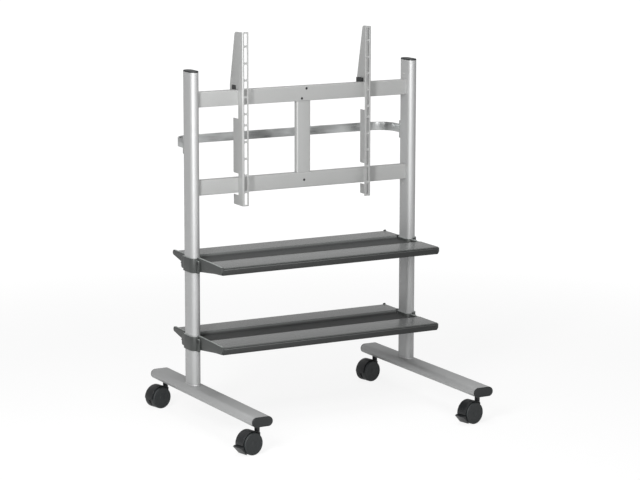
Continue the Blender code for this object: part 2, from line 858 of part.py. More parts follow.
def make_bracket(end, name, side):
    """The bracket that holds one end of a tray and is the inner half of its collar."""
    wall_ends = sorted((-side * bracket_wall, 0))
    wall_mesh = plate([bracket_side_view()], "side", *wall_ends, bracket_rounding)
    bracket = piece(name + "_bracket", wall_mesh, bracket_grey, end)
    collar_mesh = plate([half_collar(side, True)], "plan", -bracket_post_depth, -collar_top)
    collar = tool_shape(name + "_inner_collar", collar_mesh, end)
    nose_mesh = plate(
        [bracket_nose(side)], "plan", -bracket_front_depth - seat_gap, bracket_front_rim - seat_gap
    )
    nose = tool_shape(name + "_nose", nose_mesh, end)
    ledges = []
    ledge_ends = sorted((-side * (bracket_wall + bracket_ledge_width), -side * bracket_wall / 2))
    for place, view in zip(("front", "rear"), ledge_views()):
        ledges.append(tool_shape(f"{name}_{place}_ledge", plate([view], "side", *ledge_ends), end))
    combine(bracket, "UNION", collar, nose, *ledges)
    add_post_hole(bracket, end, name + "_bracket")
    hole_radius = bolt_shank_radius + bolt_hole_gap
    hole_ends = sorted((-side * (bolt_reach + seat_gap), side * cut_overrun))
    for place, bolt_side in (("front", -1), ("rear", 1)):
        hole_mesh = cylinder(
            hole_radius, *hole_ends, "x", screw_steps, (bolt_side * bolt_y, -collar_top - bolt_drop)
        )
        combine(bracket, "DIFFERENCE", tool_shape(f"{name}_{place}_bolt_hole", hole_mesh, end))


def add_post_hole(target, end, name):
    """Cut the space for the post through a bracket or a clamp."""
    outline = stadium(post_depth + 2 * seat_gap, post_width + 2 * seat_gap, upright=True)
    reach = collar_drop + cut_overrun
    hole_mesh = plate([outline], "plan", -reach, reach)
    combine(target, "DIFFERENCE", tool_shape(name + "_post_hole", hole_mesh, end))


def make_clamp(end, name, side):
    """The outer half of a collar, with an ear for the bolt at the front and at the rear."""
    clamp_mesh = plate([half_collar(side, False)], "plan", -collar_drop, -collar_top)
    clamp = piece(name + "_clamp", clamp_mesh, bracket_grey, end)
    ear_inner = parting_gap
    ear_ends = sorted((side * ear_inner, side * (ear_inner + clamp_ear_thickness)))
    ear_outline = shifted(
        rounded_rectangle(2 * clamp_ear_reach, clamp_ear_height, clamp_ear_corner),
        0, -collar_top - seat_gap - clamp_ear_height / 2,
    )
    ear_mesh = plate([ear_outline], "side", *ear_ends, clamp_ear_rounding)
    combine(clamp, "UNION", tool_shape(name + "_clamp_ears", ear_mesh, end))
    add_post_hole(clamp, end, name + "_clamp")
    profile = screw_profile(
        bolt_head_radius, bolt_head_height, bolt_shank_radius,
        ear_inner + clamp_ear_thickness + bolt_reach, bolt_washer_radius,
        bolt_washer_height,
    )
    bolt_z = -collar_top - bolt_drop
    for place, bolt_side in (("front", -1), ("rear", 1)):
        hole_mesh = cylinder(
            bolt_shank_radius + bolt_hole_gap, -cut_overrun, cut_overrun, "x", screw_steps,
            (bolt_side * bolt_y, bolt_z),
        )
        combine(clamp, "DIFFERENCE", tool_shape(f"{name}_{place}_clamp_hole", hole_mesh, end))
        seat_x = side * (ear_inner + clamp_ear_thickness + seat_gap)
        bolt_mesh = turned_mesh(profile, screw_steps)
        bolt = piece(f"{name}_{place}_clamp_bolt", bolt_mesh, black_steel, end)
        bolt.location = (seat_x, bolt_side * bolt_y, bolt_z)
        bolt.rotation_euler = (0, side * math.pi / 2, 0)


def make_shelves(cart):
    """Two trays, each held by a bracket and a clamp at both posts, free to slide up and down."""
    notch_inner = -post_width / 2 - collar_wall - seat_gap
    notch_reach = post_depth / 2 + collar_wall + seat_gap
    for level, height in (("upper", upper_shelf_z), ("lower", upper_shelf_z - shelf_pitch)):
        shelf = holder(level + "_shelf_slide", (0, 0, height), cart)
        tray_mesh = plate([tray_section()], "side", -tray_reach, tray_reach)
        tray = piece(level + "_shelf_tray", tray_mesh, anthracite, shelf)
        for name, side in side_names:
            end = holder(f"{level}_{name}_shelf_end", (side * post_x, 0, 0), shelf)
            outline = [
                (notch_inner, -notch_reach),
                (0, -notch_reach),
                (0, notch_reach),
                (notch_inner, notch_reach),
            ]
            notch_mesh = plate([mirrored(outline, side)], "plan", -collar_drop, cut_overrun)
            notch = tool_shape(f"{level}_{name}_tray_notch", notch_mesh, end)
            combine(tray, "DIFFERENCE", notch)
            make_bracket(end, f"{level}_{name}", side)
            make_clamp(end, f"{level}_{name}", side)


def hood_sector(inner, outer, low_angle, high_angle, steps):
    """A curved strip about the axle, as seen from the side."""
    centre = (castor_trail, wheel_radius)
    return arc(centre, outer, low_angle, high_angle, steps) + arc(
        centre, inner, high_angle, low_angle, steps
    )


def polar(radius, angle):
    """A point about the axle, as seen from the side."""
    return castor_trail + radius * math.cos(angle), wheel_radius + radius * math.sin(angle)


def web_outline():
    """The centre wall of a castor: under the hood, round the axle and forward to the swivel."""
    inside_shell = hood_radius - hood_shell / 2
    centre = (castor_trail, wheel_radius)
    under_pedal = arc(centre, wheel_radius - pedal_pin_gap, web_low_angle, hood_low_angle, small_round_steps)
    top = arc(centre, inside_shell, hood_low_angle, hood_high_angle, hood_steps)
    front = [
        (-stem_front_wall, hood_neck_height()),
        (-stem_front_wall, stem_pocket_floor),
        (stem_pin_radius, stem_pocket_floor - stem_pin_radius),
    ]
    boss = arc(centre, web_boss_radius, math.pi, 3 * math.pi / 2, small_round_steps)
    return under_pedal + top + front + boss


def hood_neck_height():
    """How high the front of the hood stands where the neck rises from it."""
    return wheel_radius + hood_radius * math.sin(hood_high_angle)


def make_hood_mesh():
    """The body of a castor: hood, centre wall, axle, swivel boss and the pin for a brake pedal."""
    half_web = web_thickness / 2
    shell_outline = hood_sector(
        hood_radius - hood_shell, hood_radius, hood_low_angle, hood_high_angle, hood_steps
    )
    shell_mesh = plate([shell_outline], "front", -hood_half_width, hood_half_width)
    hood = tool_shape("hood_shell", shell_mesh)
    web = tool_shape("hood_web", plate([web_outline()], "front", -half_web, half_web))
    axle_reach = wheel_inner_y + wheel_width - axle_end_gap
    centre = (castor_trail, wheel_radius)
    axle = tool_shape("hood_axle", cylinder(axle_radius, -axle_reach, axle_reach, "y", stem_steps, centre))
    boss_mesh = cylinder(neck_radius, stem_pin_bottom, neck_foot_z, "z", stem_steps)
    boss = tool_shape("hood_boss", boss_mesh)
    boss_base = neck_foot_z - neck_radius
    trim_outline = [
        (-2 * neck_radius, 0),
        (2 * neck_radius, 0),
        (2 * neck_radius, boss_base),
        (-2 * neck_radius, boss_base),
    ]
    for flank, sign in (("left", -1), ("right", 1)):
        ends = sorted((sign * (half_web - seat_gap), sign * (neck_radius + cut_overrun)))
        trim = tool_shape(f"hood_{flank}_trim", plate([trim_outline], "front", *ends))
        combine(boss, "DIFFERENCE", trim)
    combine(hood, "UNION", web, axle, boss)
    pivot = polar(pedal_pivot_radius, pedal_pivot_angle)
    half_slot = pedal_tongue / 2 + pedal_slot_gap
    slot_mesh = plate([pedal_slot_outline()], "front", -half_slot, half_slot)
    combine(hood, "DIFFERENCE", tool_shape("hood_pedal_slot", slot_mesh))
    pin_reach = (half_slot + half_web) / 2
    pin_mesh = cylinder(pedal_pin_radius, -pin_reach, pin_reach, "y", screw_steps, pivot)
    combine(hood, "UNION", tool_shape("hood_pedal_pin", pin_mesh))
    socket_mesh = cylinder(
        stem_pin_radius + stem_gap, stem_pin_bottom - stem_gap, neck_foot_z + cut_overrun, "z", stem_steps
    )
    combine(hood, "DIFFERENCE", tool_shape("hood_socket", socket_mesh))
    return worked_out(hood)


def pedal_slot_outline():
    """The space in the centre wall where the pedal's tongue swings."""
    pivot = polar(pedal_pivot_radius, pedal_pivot_angle)
    radius = pedal_eye_radius + pedal_slot_clearance
    inner = arc(
        pivot, radius, pedal_pivot_angle + math.pi / 2, pedal_pivot_angle + 3 * math.pi / 2,
        small_round_steps,
    )
    outer = hood_radius + cut_overrun
    return inner + [polar(outer, web_low_angle), polar(outer, hood_low_angle)]


def make_wheel_mesh():
    """A wheel turned about Z, its inner face at height zero and its dished outer face up."""
    bore = axle_radius + axle_gap
    face = wheel_width - wheel_dish_depth
    profile = [
        (bore, face),
        (wheel_dish_radius, face),
        (wheel_rim_radius, wheel_width),
        (wheel_radius - wheel_edge, wheel_width),
        (wheel_radius, wheel_width - wheel_edge),
        (wheel_radius, wheel_edge),
        (wheel_radius - wheel_edge, 0),
        (bore, 0),
    ]
    return turned_mesh(profile, wheel_steps, closed=True)


def make_pedal_mesh():
    """A brake pedal: a curved shoe behind the wheels, a pointed toe and a tongue on the pin."""
    inner = wheel_radius + pedal_gap
    outer = inner + pedal_thickness
    toe = [
        polar(pedal_tip_reach, pedal_tip_angle),
        polar(pedal_tip_reach, pedal_tip_angle - pedal_tip_flat / pedal_tip_reach),
    ]
    centre = (castor_trail, wheel_radius)
    shoe_outline = arc(centre, inner, pedal_high_angle, pedal_low_angle, pedal_steps)
    shoe_outline += [polar(outer, pedal_low_angle)] + list(reversed(toe))
    shoe_outline.append(polar(outer, pedal_high_angle))
    shoe_mesh = plate([shoe_outline], "front", -pedal_half_width, pedal_half_width)
    pedal = tool_shape("pedal_shoe", shoe_mesh)
    pivot = polar(pedal_pivot_radius, pedal_pivot_angle)
    quarter = math.pi / 2
    eye = arc(
        pivot, pedal_eye_radius, pedal_pivot_angle + quarter, pedal_pivot_angle + 3 * quarter,
        small_round_steps,
    )
    root = inner + pedal_thickness / 2
    half_root = pedal_eye_radius / root
    tongue_outline = eye + [
        polar(root, pedal_pivot_angle - half_root),
        polar(root, pedal_pivot_angle + half_root),
    ]
    half_tongue = pedal_tongue / 2
    tongue_mesh = plate([tongue_outline], "front", -half_tongue, half_tongue)
    combine(pedal, "UNION", tool_shape("pedal_tongue", tongue_mesh))
    hole_mesh = cylinder(
        pedal_pin_radius + pedal_pin_gap, -pedal_tongue, pedal_tongue, "y", screw_steps, pivot
    )
    combine(pedal, "DIFFERENCE", tool_shape("pedal_eye_hole", hole_mesh))
    mesh = worked_out(pedal)
    mesh.transform(Matrix.Translation((-pivot[0], 0, -pivot[1])))
    return mesh


def make_stem_mesh():
    """The fixed stem of a castor: a spigot in the foot, the neck and the pin of the swivel."""
    top = castor_height + stem_spigot_height
    neck_top = castor_height - seat_gap
    neck_bottom = neck_foot_z + seat_gap
    profile = [
        (0, top),
        (stem_spigot_radius, top),
        (stem_spigot_radius, neck_top),
        (neck_radius, neck_top),
        (neck_radius, neck_bottom),
        (stem_pin_radius, neck_bottom),
        (stem_pin_radius, stem_pin_bottom),
        (0, stem_pin_bottom),
    ]
    return turned_mesh(profile, stem_steps)


def make_castors(cart):
    """Four swivel castors, all turned the same way, with a brake pedal on the front two."""
    stem_mesh = make_stem_mesh()
    hood_mesh = make_hood_mesh()
    wheel_mesh = make_wheel_mesh()
    pedal_mesh = make_pedal_mesh()
    pivot = polar(pedal_pivot_radius, pedal_pivot_angle)
    for name, side in side_names:
        for end, castor_y in (("front", castor_front_y), ("rear", castor_rear_y)):
            label = f"{end}_{name}_castor"
            place = (side * post_x, castor_y, 0)
            piece(label + "_stem", stem_mesh, black_plastic, cart, place)
            swivel = holder(label + "_swivel", place, cart, castor_turn)
            piece(label + "_hood", hood_mesh, black_plastic, swivel)
            for flank, sign in (("left", -1), ("right", 1)):
                axle_place = (castor_trail, sign * wheel_inner_y, wheel_radius)
                wheel = piece(f"{label}_{flank}_wheel", wheel_mesh, wheel_black, swivel, axle_place)
                wheel.rotation_euler = (-sign * math.pi / 2, 0, 0)
            if end == "front":
                piece(label + "_brake_pedal", pedal_mesh, black_plastic, swivel, (pivot[0], 0, pivot[1]))


def report_axes():
    """Print where the moving parts turn, in the frame of the whole cart."""
    bpy.context.view_layer.update()
    for thing in cart_pieces.objects:
        if thing.name.endswith(("_swivel", "_wheel", "_brake_pedal", "_slide")):
            place = thing.matrix_world.translation
            print(thing.name, [round(value, 6) for value in place])
    axle = Vector((-math.sin(castor_turn), math.cos(castor_turn), 0))
    print("axle direction", [round(value, 6) for value in axle])


def build_cart():
    """Make every part about the middle of the cart's footprint."""
    cart = holder("cart", (cart_centre_x, cart_centre_y, 0))
    make_posts(cart)
    make_feet(cart)
    make_crossbars(cart)
    make_push_handle(cart)
    make_screen_arms(cart)
    make_shelves(cart)
    make_castors(cart)
    report_axes()


build_cart()
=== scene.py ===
# %% [markdown]
# # A television cart, dressed for a studio picture
#
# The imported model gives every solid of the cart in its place. This lesson rebuilds its visible
# pieces with finer edges, paints them with procedural finishes, and sets a floor, lamps and a
# camera round them. Everything is in metres, Z is up, and the screen side of the cart faces -Y.

# %% Load the cart
import json
import math

import bmesh
import bpy
from mathutils import Matrix, Vector


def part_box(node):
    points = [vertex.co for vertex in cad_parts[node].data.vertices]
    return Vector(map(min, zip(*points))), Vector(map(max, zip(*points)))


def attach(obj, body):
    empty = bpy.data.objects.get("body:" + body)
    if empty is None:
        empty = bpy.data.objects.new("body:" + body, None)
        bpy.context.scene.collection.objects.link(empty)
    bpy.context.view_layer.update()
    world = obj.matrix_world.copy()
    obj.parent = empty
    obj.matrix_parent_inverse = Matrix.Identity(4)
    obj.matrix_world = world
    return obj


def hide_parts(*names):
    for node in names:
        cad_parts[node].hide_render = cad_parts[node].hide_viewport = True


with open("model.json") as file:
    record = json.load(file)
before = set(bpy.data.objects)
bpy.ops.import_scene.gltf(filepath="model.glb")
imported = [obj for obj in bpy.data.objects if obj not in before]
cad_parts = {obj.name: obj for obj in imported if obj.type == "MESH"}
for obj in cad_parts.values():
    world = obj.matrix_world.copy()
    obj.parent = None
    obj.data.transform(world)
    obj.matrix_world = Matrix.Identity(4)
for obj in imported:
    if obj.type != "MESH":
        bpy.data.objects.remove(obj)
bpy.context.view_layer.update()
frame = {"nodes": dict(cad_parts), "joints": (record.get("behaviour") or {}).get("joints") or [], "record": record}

# %% [markdown]
# ## The middle of the cart
#
# Most sizes are easiest to give from the point on the floor midway between the two posts. The
# solids tell where that is: halfway between the posts' boxes.

# %% Find the middle between the posts
left_low, left_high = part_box("left_post")
right_low, right_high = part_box("right_post")
middle = Vector(((left_low.x + right_high.x) / 2, (left_low.y + left_high.y) / 2, 0))
post_x = (right_low.x + right_high.x - left_low.x - left_high.x) / 4
sides = (("left", -1), ("right", 1))
print("middle", [round(value, 4) for value in middle], "posts at", round(post_x, 4))


# %% Put things into the scene
def linked(name, data):
    """A new object in the scene."""
    thing = bpy.data.objects.new(name, data)
    bpy.context.collection.objects.link(thing)
    return thing


# %% [markdown]
# ## The camera
#
# The photographer stood in front and to the left with a long lens, a little above the cart. A
# long lens keeps the far post nearly as tall as the near one. The camera is turned by three
# angles: round to the right, down, and a trace of roll.

# %% Set the camera
camera_data = bpy.data.cameras.new("camera")
camera_data.lens = 136.2
camera_data.sensor_width = 36
camera = linked("camera", camera_data)
bpy.context.scene.camera = camera

turn, down, roll = (math.radians(value) for value in (28.7638, 10.3178, 0.1251))
ahead = Vector((math.sin(turn) * math.cos(down), math.cos(turn) * math.cos(down), -math.sin(down)))
level_right = Vector((math.cos(turn), -math.sin(turn), 0))
level_up = level_right.cross(ahead)
to_right = level_right * math.cos(roll) + level_up * math.sin(roll)
upward = to_right.cross(ahead)
place = middle + Vector((-4.1692, -7.7320, 2.2267))
axes = Matrix((to_right, upward, -ahead)).transposed().to_4x4()
camera.matrix_world = Matrix.Translation(place) @ axes
print("camera at", [round(value, 3) for value in place])

# %% [markdown]
# ## Shader sums in plain Python
#
# A material in Blender is a tree of nodes. Small classes keep it readable. A `Level` wraps one
# output socket, and its operators add Math nodes, so `1 - dust * 0.3` reads as it would on paper.
# A `Shader` is a node tree with one method that adds any other node, and a `Finish` is the shader
# of a material.


# %% A socket that takes part in sums
class Level:
    """One output of a node. Sums with it make Math nodes."""

    def __init__(self, shader, socket):
        self.shader = shader
        self.socket = socket

    def maths(self, operation, *values):
        return self.shader.add("ShaderNodeMath", {"operation": operation}, dict(enumerate(values)))

    def __add__(self, other):
        return self.maths("ADD", self, other)

    def __sub__(self, other):
        return self.maths("SUBTRACT", self, other)

    def __mul__(self, other):
        return self.maths("MULTIPLY", self, other)

    def __rsub__(self, other):
        return self.maths("SUBTRACT", other, self)

    __radd__ = __add__
    __rmul__ = __mul__

    def between(self, low, high):
        """0 below low, 1 above high, and a smooth slope from one to the other."""
        settings = {"interpolation_type": "SMOOTHSTEP"}
        return self.shader.add(
            "ShaderNodeMapRange", settings, {"Value": self, "From Min": low, "From Max": high}
        )


# %% A node tree under construction
class Shader:
    """A node tree, and one way to add any node to it."""

    def __init__(self, tree):
        self.tree = tree

    def feed(self, node, values):
        """Link or set the inputs of a node."""
        for key, value in values.items():
            if isinstance(value, Level):
                self.tree.links.new(value.socket, node.inputs[key])
            else:
                node.inputs[key].default_value = value

    def add(self, kind, settings, values, output=0):
        """Add a node of a kind, with its settings first and then its inputs."""
        node = self.tree.nodes.new(kind)
        for key, value in settings.items():
            setattr(node, key, value)
        self.feed(node, values)
        return Level(self, node.outputs[output])


# %% A material under construction
class Finish(Shader):
    """A material, its surface shader, and the nodes that most finishes need."""

    def __init__(self, name, colour, roughness, metallic=0.0):
        self.material = bpy.data.materials.new(name)
        self.material.use_nodes = True
        super().__init__(self.material.node_tree)
        self.surface = self.tree.nodes["Principled BSDF"]
        self.colour = colour
        values = {"Base Color": (*colour, 1), "Roughness": roughness, "Metallic": metallic}
        self.feed(self.surface, values)

    def wear(self, **values):
        """Feed the surface shader: Base_Color, Roughness and so on."""
        self.feed(self.surface, {key.replace("_", " "): value for key, value in values.items()})

    def place(self, stretch=(1, 1, 1), source="Object"):
        """The place on the piece, in metres, stretched along its axes."""
        spot = self.add("ShaderNodeTexCoord", {}, {}, source)
        return self.add("ShaderNodeVectorMath", {"operation": "MULTIPLY"}, {0: spot, 1: stretch})

    def noise(self, spot, scale, detail=2.0, roughness=0.5):
        """Soft random grain between 0 and 1."""
        values = {"Vector": spot, "Scale": scale, "Detail": detail, "Roughness": roughness}
        return self.add("ShaderNodeTexNoise", {}, values, "Fac")

    def tint(self, mask, low, high):
        """A colour that goes from the finish's own times low to its own times high."""
        ends = [tuple(value * part for part in self.colour) + (1,) for value in (low, high)]
        return self.mix(mask, *ends)

    def mix(self, mask, first, second):
        """A blend of two colours by a mask."""
        values = {0: mask, 6: first, 7: second}
        return self.add("ShaderNodeMix", {"data_type": "RGBA"}, values, output=2)

    def bump(self, height, depth, strength=1.0):
        """A surface relief of a depth in metres."""
        values = {"Height": height, "Distance": depth, "Strength": strength}
        return self.add("ShaderNodeBump", {}, values, "Normal")


# %% [markdown]
# ## Silver: anodised tube and powder-coated sheet
#
# The posts and feet are drawn aluminium tube with a satin anodised skin. The die leaves faint
# lines along the tube, so a noise that is stretched along it drives both the roughness and a very
# shallow bump. The bars and arms are steel with a silver powder coat, which has fine flakes and a
# soft orange-peel surface in place of lines.


# %% Anodised tube
def anodised_tube(name, along, shade=1.0):
    """Satin aluminium with die lines along one axis."""
    finish = Finish(name, (0.50 * shade, 0.505 * shade, 0.505 * shade), 0.52, metallic=0.58)
    stretch = [700.0, 700.0, 700.0]
    stretch[along] = 3.0
    lines = finish.noise(finish.place(stretch), 1.0, detail=3.0)
    clouds = finish.noise(finish.place(), 7.0, detail=2.0)
    finish.wear(
        Base_Color=finish.tint(clouds * 0.6 + lines * 0.4, 0.93, 1.07),
        Roughness=lines * 0.08 + clouds * 0.06 + 0.49,
        Normal=finish.bump(lines, 0.00006, 0.5),
    )
    return finish.material


finishes = {"silver_tube": anodised_tube("silver_tube_upright", 2)}
# The feet take a copy of the tube finish at 0.88 of its lightness, as painted shade.
foot_tube = anodised_tube("silver_tube_level", 1, 0.88)
print("tube finish", len(foot_tube.node_tree.nodes), "nodes")


# %% Powder-coated sheet
def powder_coat(name, colour, roughness, metallic, peel, flake):
    """A baked powder coat: fine flakes in the colour and a soft orange-peel surface."""
    finish = Finish(name, colour, roughness, metallic)
    spot = finish.place()
    flakes = finish.noise(spot, 1400.0, detail=1.0)
    soft = finish.noise(spot, 330.0, detail=2.0)
    clouds = finish.noise(spot, 5.0)
    finish.wear(
        Base_Color=finish.tint(flakes * 0.7 + clouds * 0.3, 1 - flake, 1 + flake),
        Roughness=flakes * 0.10 + clouds * 0.06 + (roughness - 0.08),
        Normal=finish.bump(soft * 0.7 + flakes * 0.3, peel, 0.4),
    )
    return finish


sheet_coat = powder_coat("silver_sheet", (0.47, 0.475, 0.47), 0.48, 0.35, 0.00010, 0.08)
finishes["silver_sheet"] = sheet_coat.material
print("sheet coat", len(sheet_coat.tree.nodes), "nodes")

# %% [markdown]
# ## Steel of the push handle
#
# The handle is a flat bar of satin steel. Grinding runs along the bar, so lines are fine across
# its height and long in both floor directions, which lets them follow the bends too. Slow, wide
# variations are painted reflections that make the bar lighter and darker along its run, and they
# vary its gloss a little too.

# %% Satin steel
steel = Finish("handle_steel", (0.46, 0.47, 0.47), 0.34, metallic=0.80)
grind = steel.noise(steel.place((5.0, 5.0, 900.0)), 1.0, detail=4.0, roughness=0.6)
# Painted reflections: slow, wide variations that lighten and darken the bar's colour, and vary its roughness.
reflections_and_gloss = steel.noise(steel.place((9.0, 9.0, 22.0)), 1.0, detail=2.0)
steel.wear(
    Base_Color=steel.tint((reflections_and_gloss - 0.5) * 2.2 + grind * 0.45 + 0.36, 0.50, 1.42),
    Roughness=grind * 0.16 + reflections_and_gloss * 0.08 + 0.18,
    Normal=steel.bump(grind, 0.00008, 0.4),
)
finishes["handle_steel"] = steel.material
print("steel", len(steel.tree.nodes), "nodes")

# %% [markdown]
# ## Anthracite trays and brackets
#
# The trays have a smooth, half-gloss anthracite coat that mirrors the posts. The sunk trough is
# duller than the panels round it and painted darker as shade, so a mask of the height on the tray
# mixes a matt, darker version in. The front lip is painted darker as shade, most under its bead, and
# a painted highlight runs along the bead; the lip grows darker and the highlight fainter towards the
# right. The cast brackets have a satin coat, and faces that look up, as the rims do, are painted
# lighter as a highlight.

# %% Tray coat
tray_coat = powder_coat("anthracite_paint", (0.173, 0.180, 0.177), 0.30, 0.30, 0.00004, 0.06)
on_tray = tray_coat.place()
across, forward, height = (
    tray_coat.add("ShaderNodeSeparateXYZ", {}, {"Vector": on_tray}, axis) for axis in "XYZ"
)
panel = height.between(-0.0095, -0.0020)
lip = 1 - forward.between(-0.2335, -0.2315)
under_bead = 1 - height.between(-0.0108, -0.0098)
low_lip = lip * under_bead
bead = lip * (1 - under_bead) * (1 - height.between(-0.0066, -0.0058))
leftward = 0.5 - across
# How far the painted shade under the bead eases towards the left.
less_shade_leftward = height.between(-0.027, -0.011) * leftward
grain = tray_coat.noise(on_tray, 900.0)
# Painted shade: the sunk trough, below the panels, is painted much darker than they are.
tone = panel * 0.69 + 0.21 + grain * 0.10
# Painted shade: the front lip is painted darker, and darker still under its bead, a little less so towards the
# left.
tone = tone * (1 - low_lip * (0.75 - less_shade_leftward * 0.55)) * (1 - lip * 0.35)
# A painted highlight runs along the bead, brighter towards the left.
tray_coat.wear(
    Base_Color=tray_coat.tint(tone + bead * (leftward * 0.40 + 0.05), 0.15, 1.0),
    Roughness=0.66 - panel * 0.46 + grain * 0.06 - low_lip * 0.15,
)
finishes["anthracite_paint"] = tray_coat.material
print("tray coat", len(tray_coat.tree.nodes), "nodes")

# %% Bracket coat
bracket_coat = powder_coat("bracket_grey", (0.056, 0.060, 0.058), 0.40, 0.20, 0.00014, 0.10)
facing = bracket_coat.add("ShaderNodeTexCoord", {}, {}, "Normal")
upward_part = bracket_coat.add("ShaderNodeSeparateXYZ", {}, {"Vector": facing}, "Z")
# Painted highlight: faces that look up, as the rims do, are painted up to six times lighter.
bracket_coat.wear(Base_Color=bracket_coat.tint(upward_part.between(0.55, 0.98), 1.0, 6.0))
finishes["bracket_grey"] = bracket_coat.material
print("bracket coat", len(bracket_coat.tree.nodes), "nodes")

# %% [markdown]
# ## Blacks
#
# Caps, castor covers and wheels are moulded plastic with a cool black, hardly lighter than the
# shadows. A fine grain breaks up their highlights. Wheels are a shade lighter and rougher, and
# screws are blackened steel. The castors' covers, necks and pedals take a copy of the plastic at
# half its lightness, as painted shade. The same recipe with a bright metal gives the small plain
# screws.


# %% Moulded black
def moulded_black(name, colour, roughness, grain_depth, metallic=0.0):
    """Black plastic or blackened steel with a fine grain."""
    finish = Finish(name, colour, roughness, metallic)
    spot = finish.place()
    grain = finish.noise(spot, 1100.0, detail=2.0)
    clouds = finish.noise(spot, 40.0)
    finish.wear(
        Base_Color=finish.tint(grain * 0.5 + clouds * 0.5, 0.8, 1.2),
        Roughness=grain * 0.12 + clouds * 0.08 + (roughness - 0.10),
        Normal=finish.bump(grain, grain_depth, 0.5),
    )
    return finish.material


for slot, *recipe in (
    ("black_plastic", (0.014, 0.016, 0.017), 0.45, 0.00010),
    ("wheel_black", (0.016, 0.019, 0.020), 0.55, 0.00012),
    ("black_steel", (0.030, 0.030, 0.032), 0.36, 0.00004, 0.6),
    ("glide_black", (0.020, 0.021, 0.022), 0.55, 0.00010),
):
    finishes[slot] = moulded_black(slot, *recipe)
bright_steel = moulded_black("bright_steel", (0.62, 0.62, 0.61), 0.30, 0.00003, 0.95)
# Painted shade: a copy of the black plastic at half its lightness, for the castors' covers, necks and pedals.
castor_black_painted_shade = moulded_black("castor_black_painted_shade", (0.007, 0.008, 0.009), 0.38, 0.00008)
print("finishes", len(bpy.data.materials))

# %% [markdown]
# ## Finishes for the solids
#
# Every solid is stood for by a finer piece below. Each takes the finish of its slot all the same,
# so that none shows in its plain colour if a piece is left out.

# %% Paint every solid by its slot
slot_of_node = {part["node"]: part["material_slot"] for part in frame["record"]["subparts"]}
for name, node in frame["nodes"].items():
    for place in node.material_slots:
        place.material = finishes[slot_of_node[name]]
print("painted", len(slot_of_node), "solids")

# %% [markdown]
# ## Outlines
#
# Every shape here starts as a flat outline: a list of points in two numbers. Arcs make the flat
# oval of the tubes and the rectangle with round corners, and `eased` rounds any other outline.


# %% Arcs, ovals and eased corners
def arc(centre, radius, start, end, steps):
    """Points along a circle, both ends included."""
    turns = [start + (end - start) * step / steps for step in range(steps + 1)]
    return [(centre[0] + radius * math.cos(a), centre[1] + radius * math.sin(a)) for a in turns]


def whole_circle(radius, steps):
    """Points all round a circle, each of them once."""
    return arc((0, 0), radius, 0, 2 * math.pi * (1 - 1 / steps), steps - 1)


def oval(length, width, upright=False, steps=16):
    """Two straight sides with half-round ends."""
    radius = width / 2
    reach = length / 2 - radius
    right = arc((reach, 0), radius, -math.pi / 2, math.pi / 2, steps)
    points = right + arc((-reach, 0), radius, math.pi / 2, 3 * math.pi / 2, steps)
    return [(-up, across) for across, up in points] if upright else points


def box_outline(across, up, radius, steps=5):
    """A rectangle about its own centre, with round corners."""
    x, y = across / 2 - radius, up / 2 - radius
    points = []
    for turn, corner in enumerate(((x, y), (-x, y), (-x, -y), (x, -y))):
        points += arc(corner, radius, turn * math.pi / 2, (turn + 1) * math.pi / 2, steps)
    return points


def moved(outline, across, up):
    """An outline shifted in its plane."""
    return [(x + across, y + up) for x, y in outline]


def eased(corners, radius, steps=3):
    """Round the corners of an outline as far as their edges allow."""
    points = []
    for index, corner in enumerate(corners):
        here = Vector(corner)
        back = Vector(corners[index - 1]) - here
        on = Vector(corners[(index + 1) % len(corners)]) - here
        angle = back.angle(on)
        if angle > math.radians(172):
            points.append(corner)
            continue
        run = min(radius / math.tan(angle / 2), 0.45 * back.length, 0.45 * on.length)
        start, end = here + back.normalized() * run, here + on.normalized() * run
        for step in range(steps + 1):
            part = step / steps
            first, second = start.lerp(here, part), here.lerp(end, part)
            points.append(tuple(first.lerp(second, part)))
    return points


# %% [markdown]
# ## From outline to solid
#
# `extruded` gives an outline depth. Blender's curves do that well: a filled 2D curve with a bevel
# comes out with both rims rounded. `skinned` covers a row of rings, which suits round, tapered and
# swept shapes. `worked` joins or cuts such shapes with Booleans and keeps only the result.

# %% Give outlines depth
planes = {
    "plan": Matrix.Identity(4),
    "front": Matrix(((1, 0, 0, 0), (0, 0, -1, 0), (0, 1, 0, 0), (0, 0, 0, 1))),
    "side": Matrix(((0, 0, 1, 0), (1, 0, 0, 0), (0, 1, 0, 0), (0, 0, 0, 1))),
}
depth_axis = {"plan": Vector((0, 0, 1)), "front": Vector((0, 1, 0)), "side": Vector((1, 0, 0))}


def evaluated(thing):
    """A plain mesh of an object with its modifiers."""
    depsgraph = bpy.context.evaluated_depsgraph_get()
    mesh = bpy.data.meshes.new_from_object(thing.evaluated_get(depsgraph))
    bpy.data.objects.remove(thing, do_unlink=True)
    mesh.materials.clear()
    return mesh


def smooth(mesh, degrees=32):
    """Smooth shading with the real edges kept sharp."""
    mesh.shade_smooth()
    mesh.set_sharp_from_angle(angle=math.radians(degrees))
    return mesh


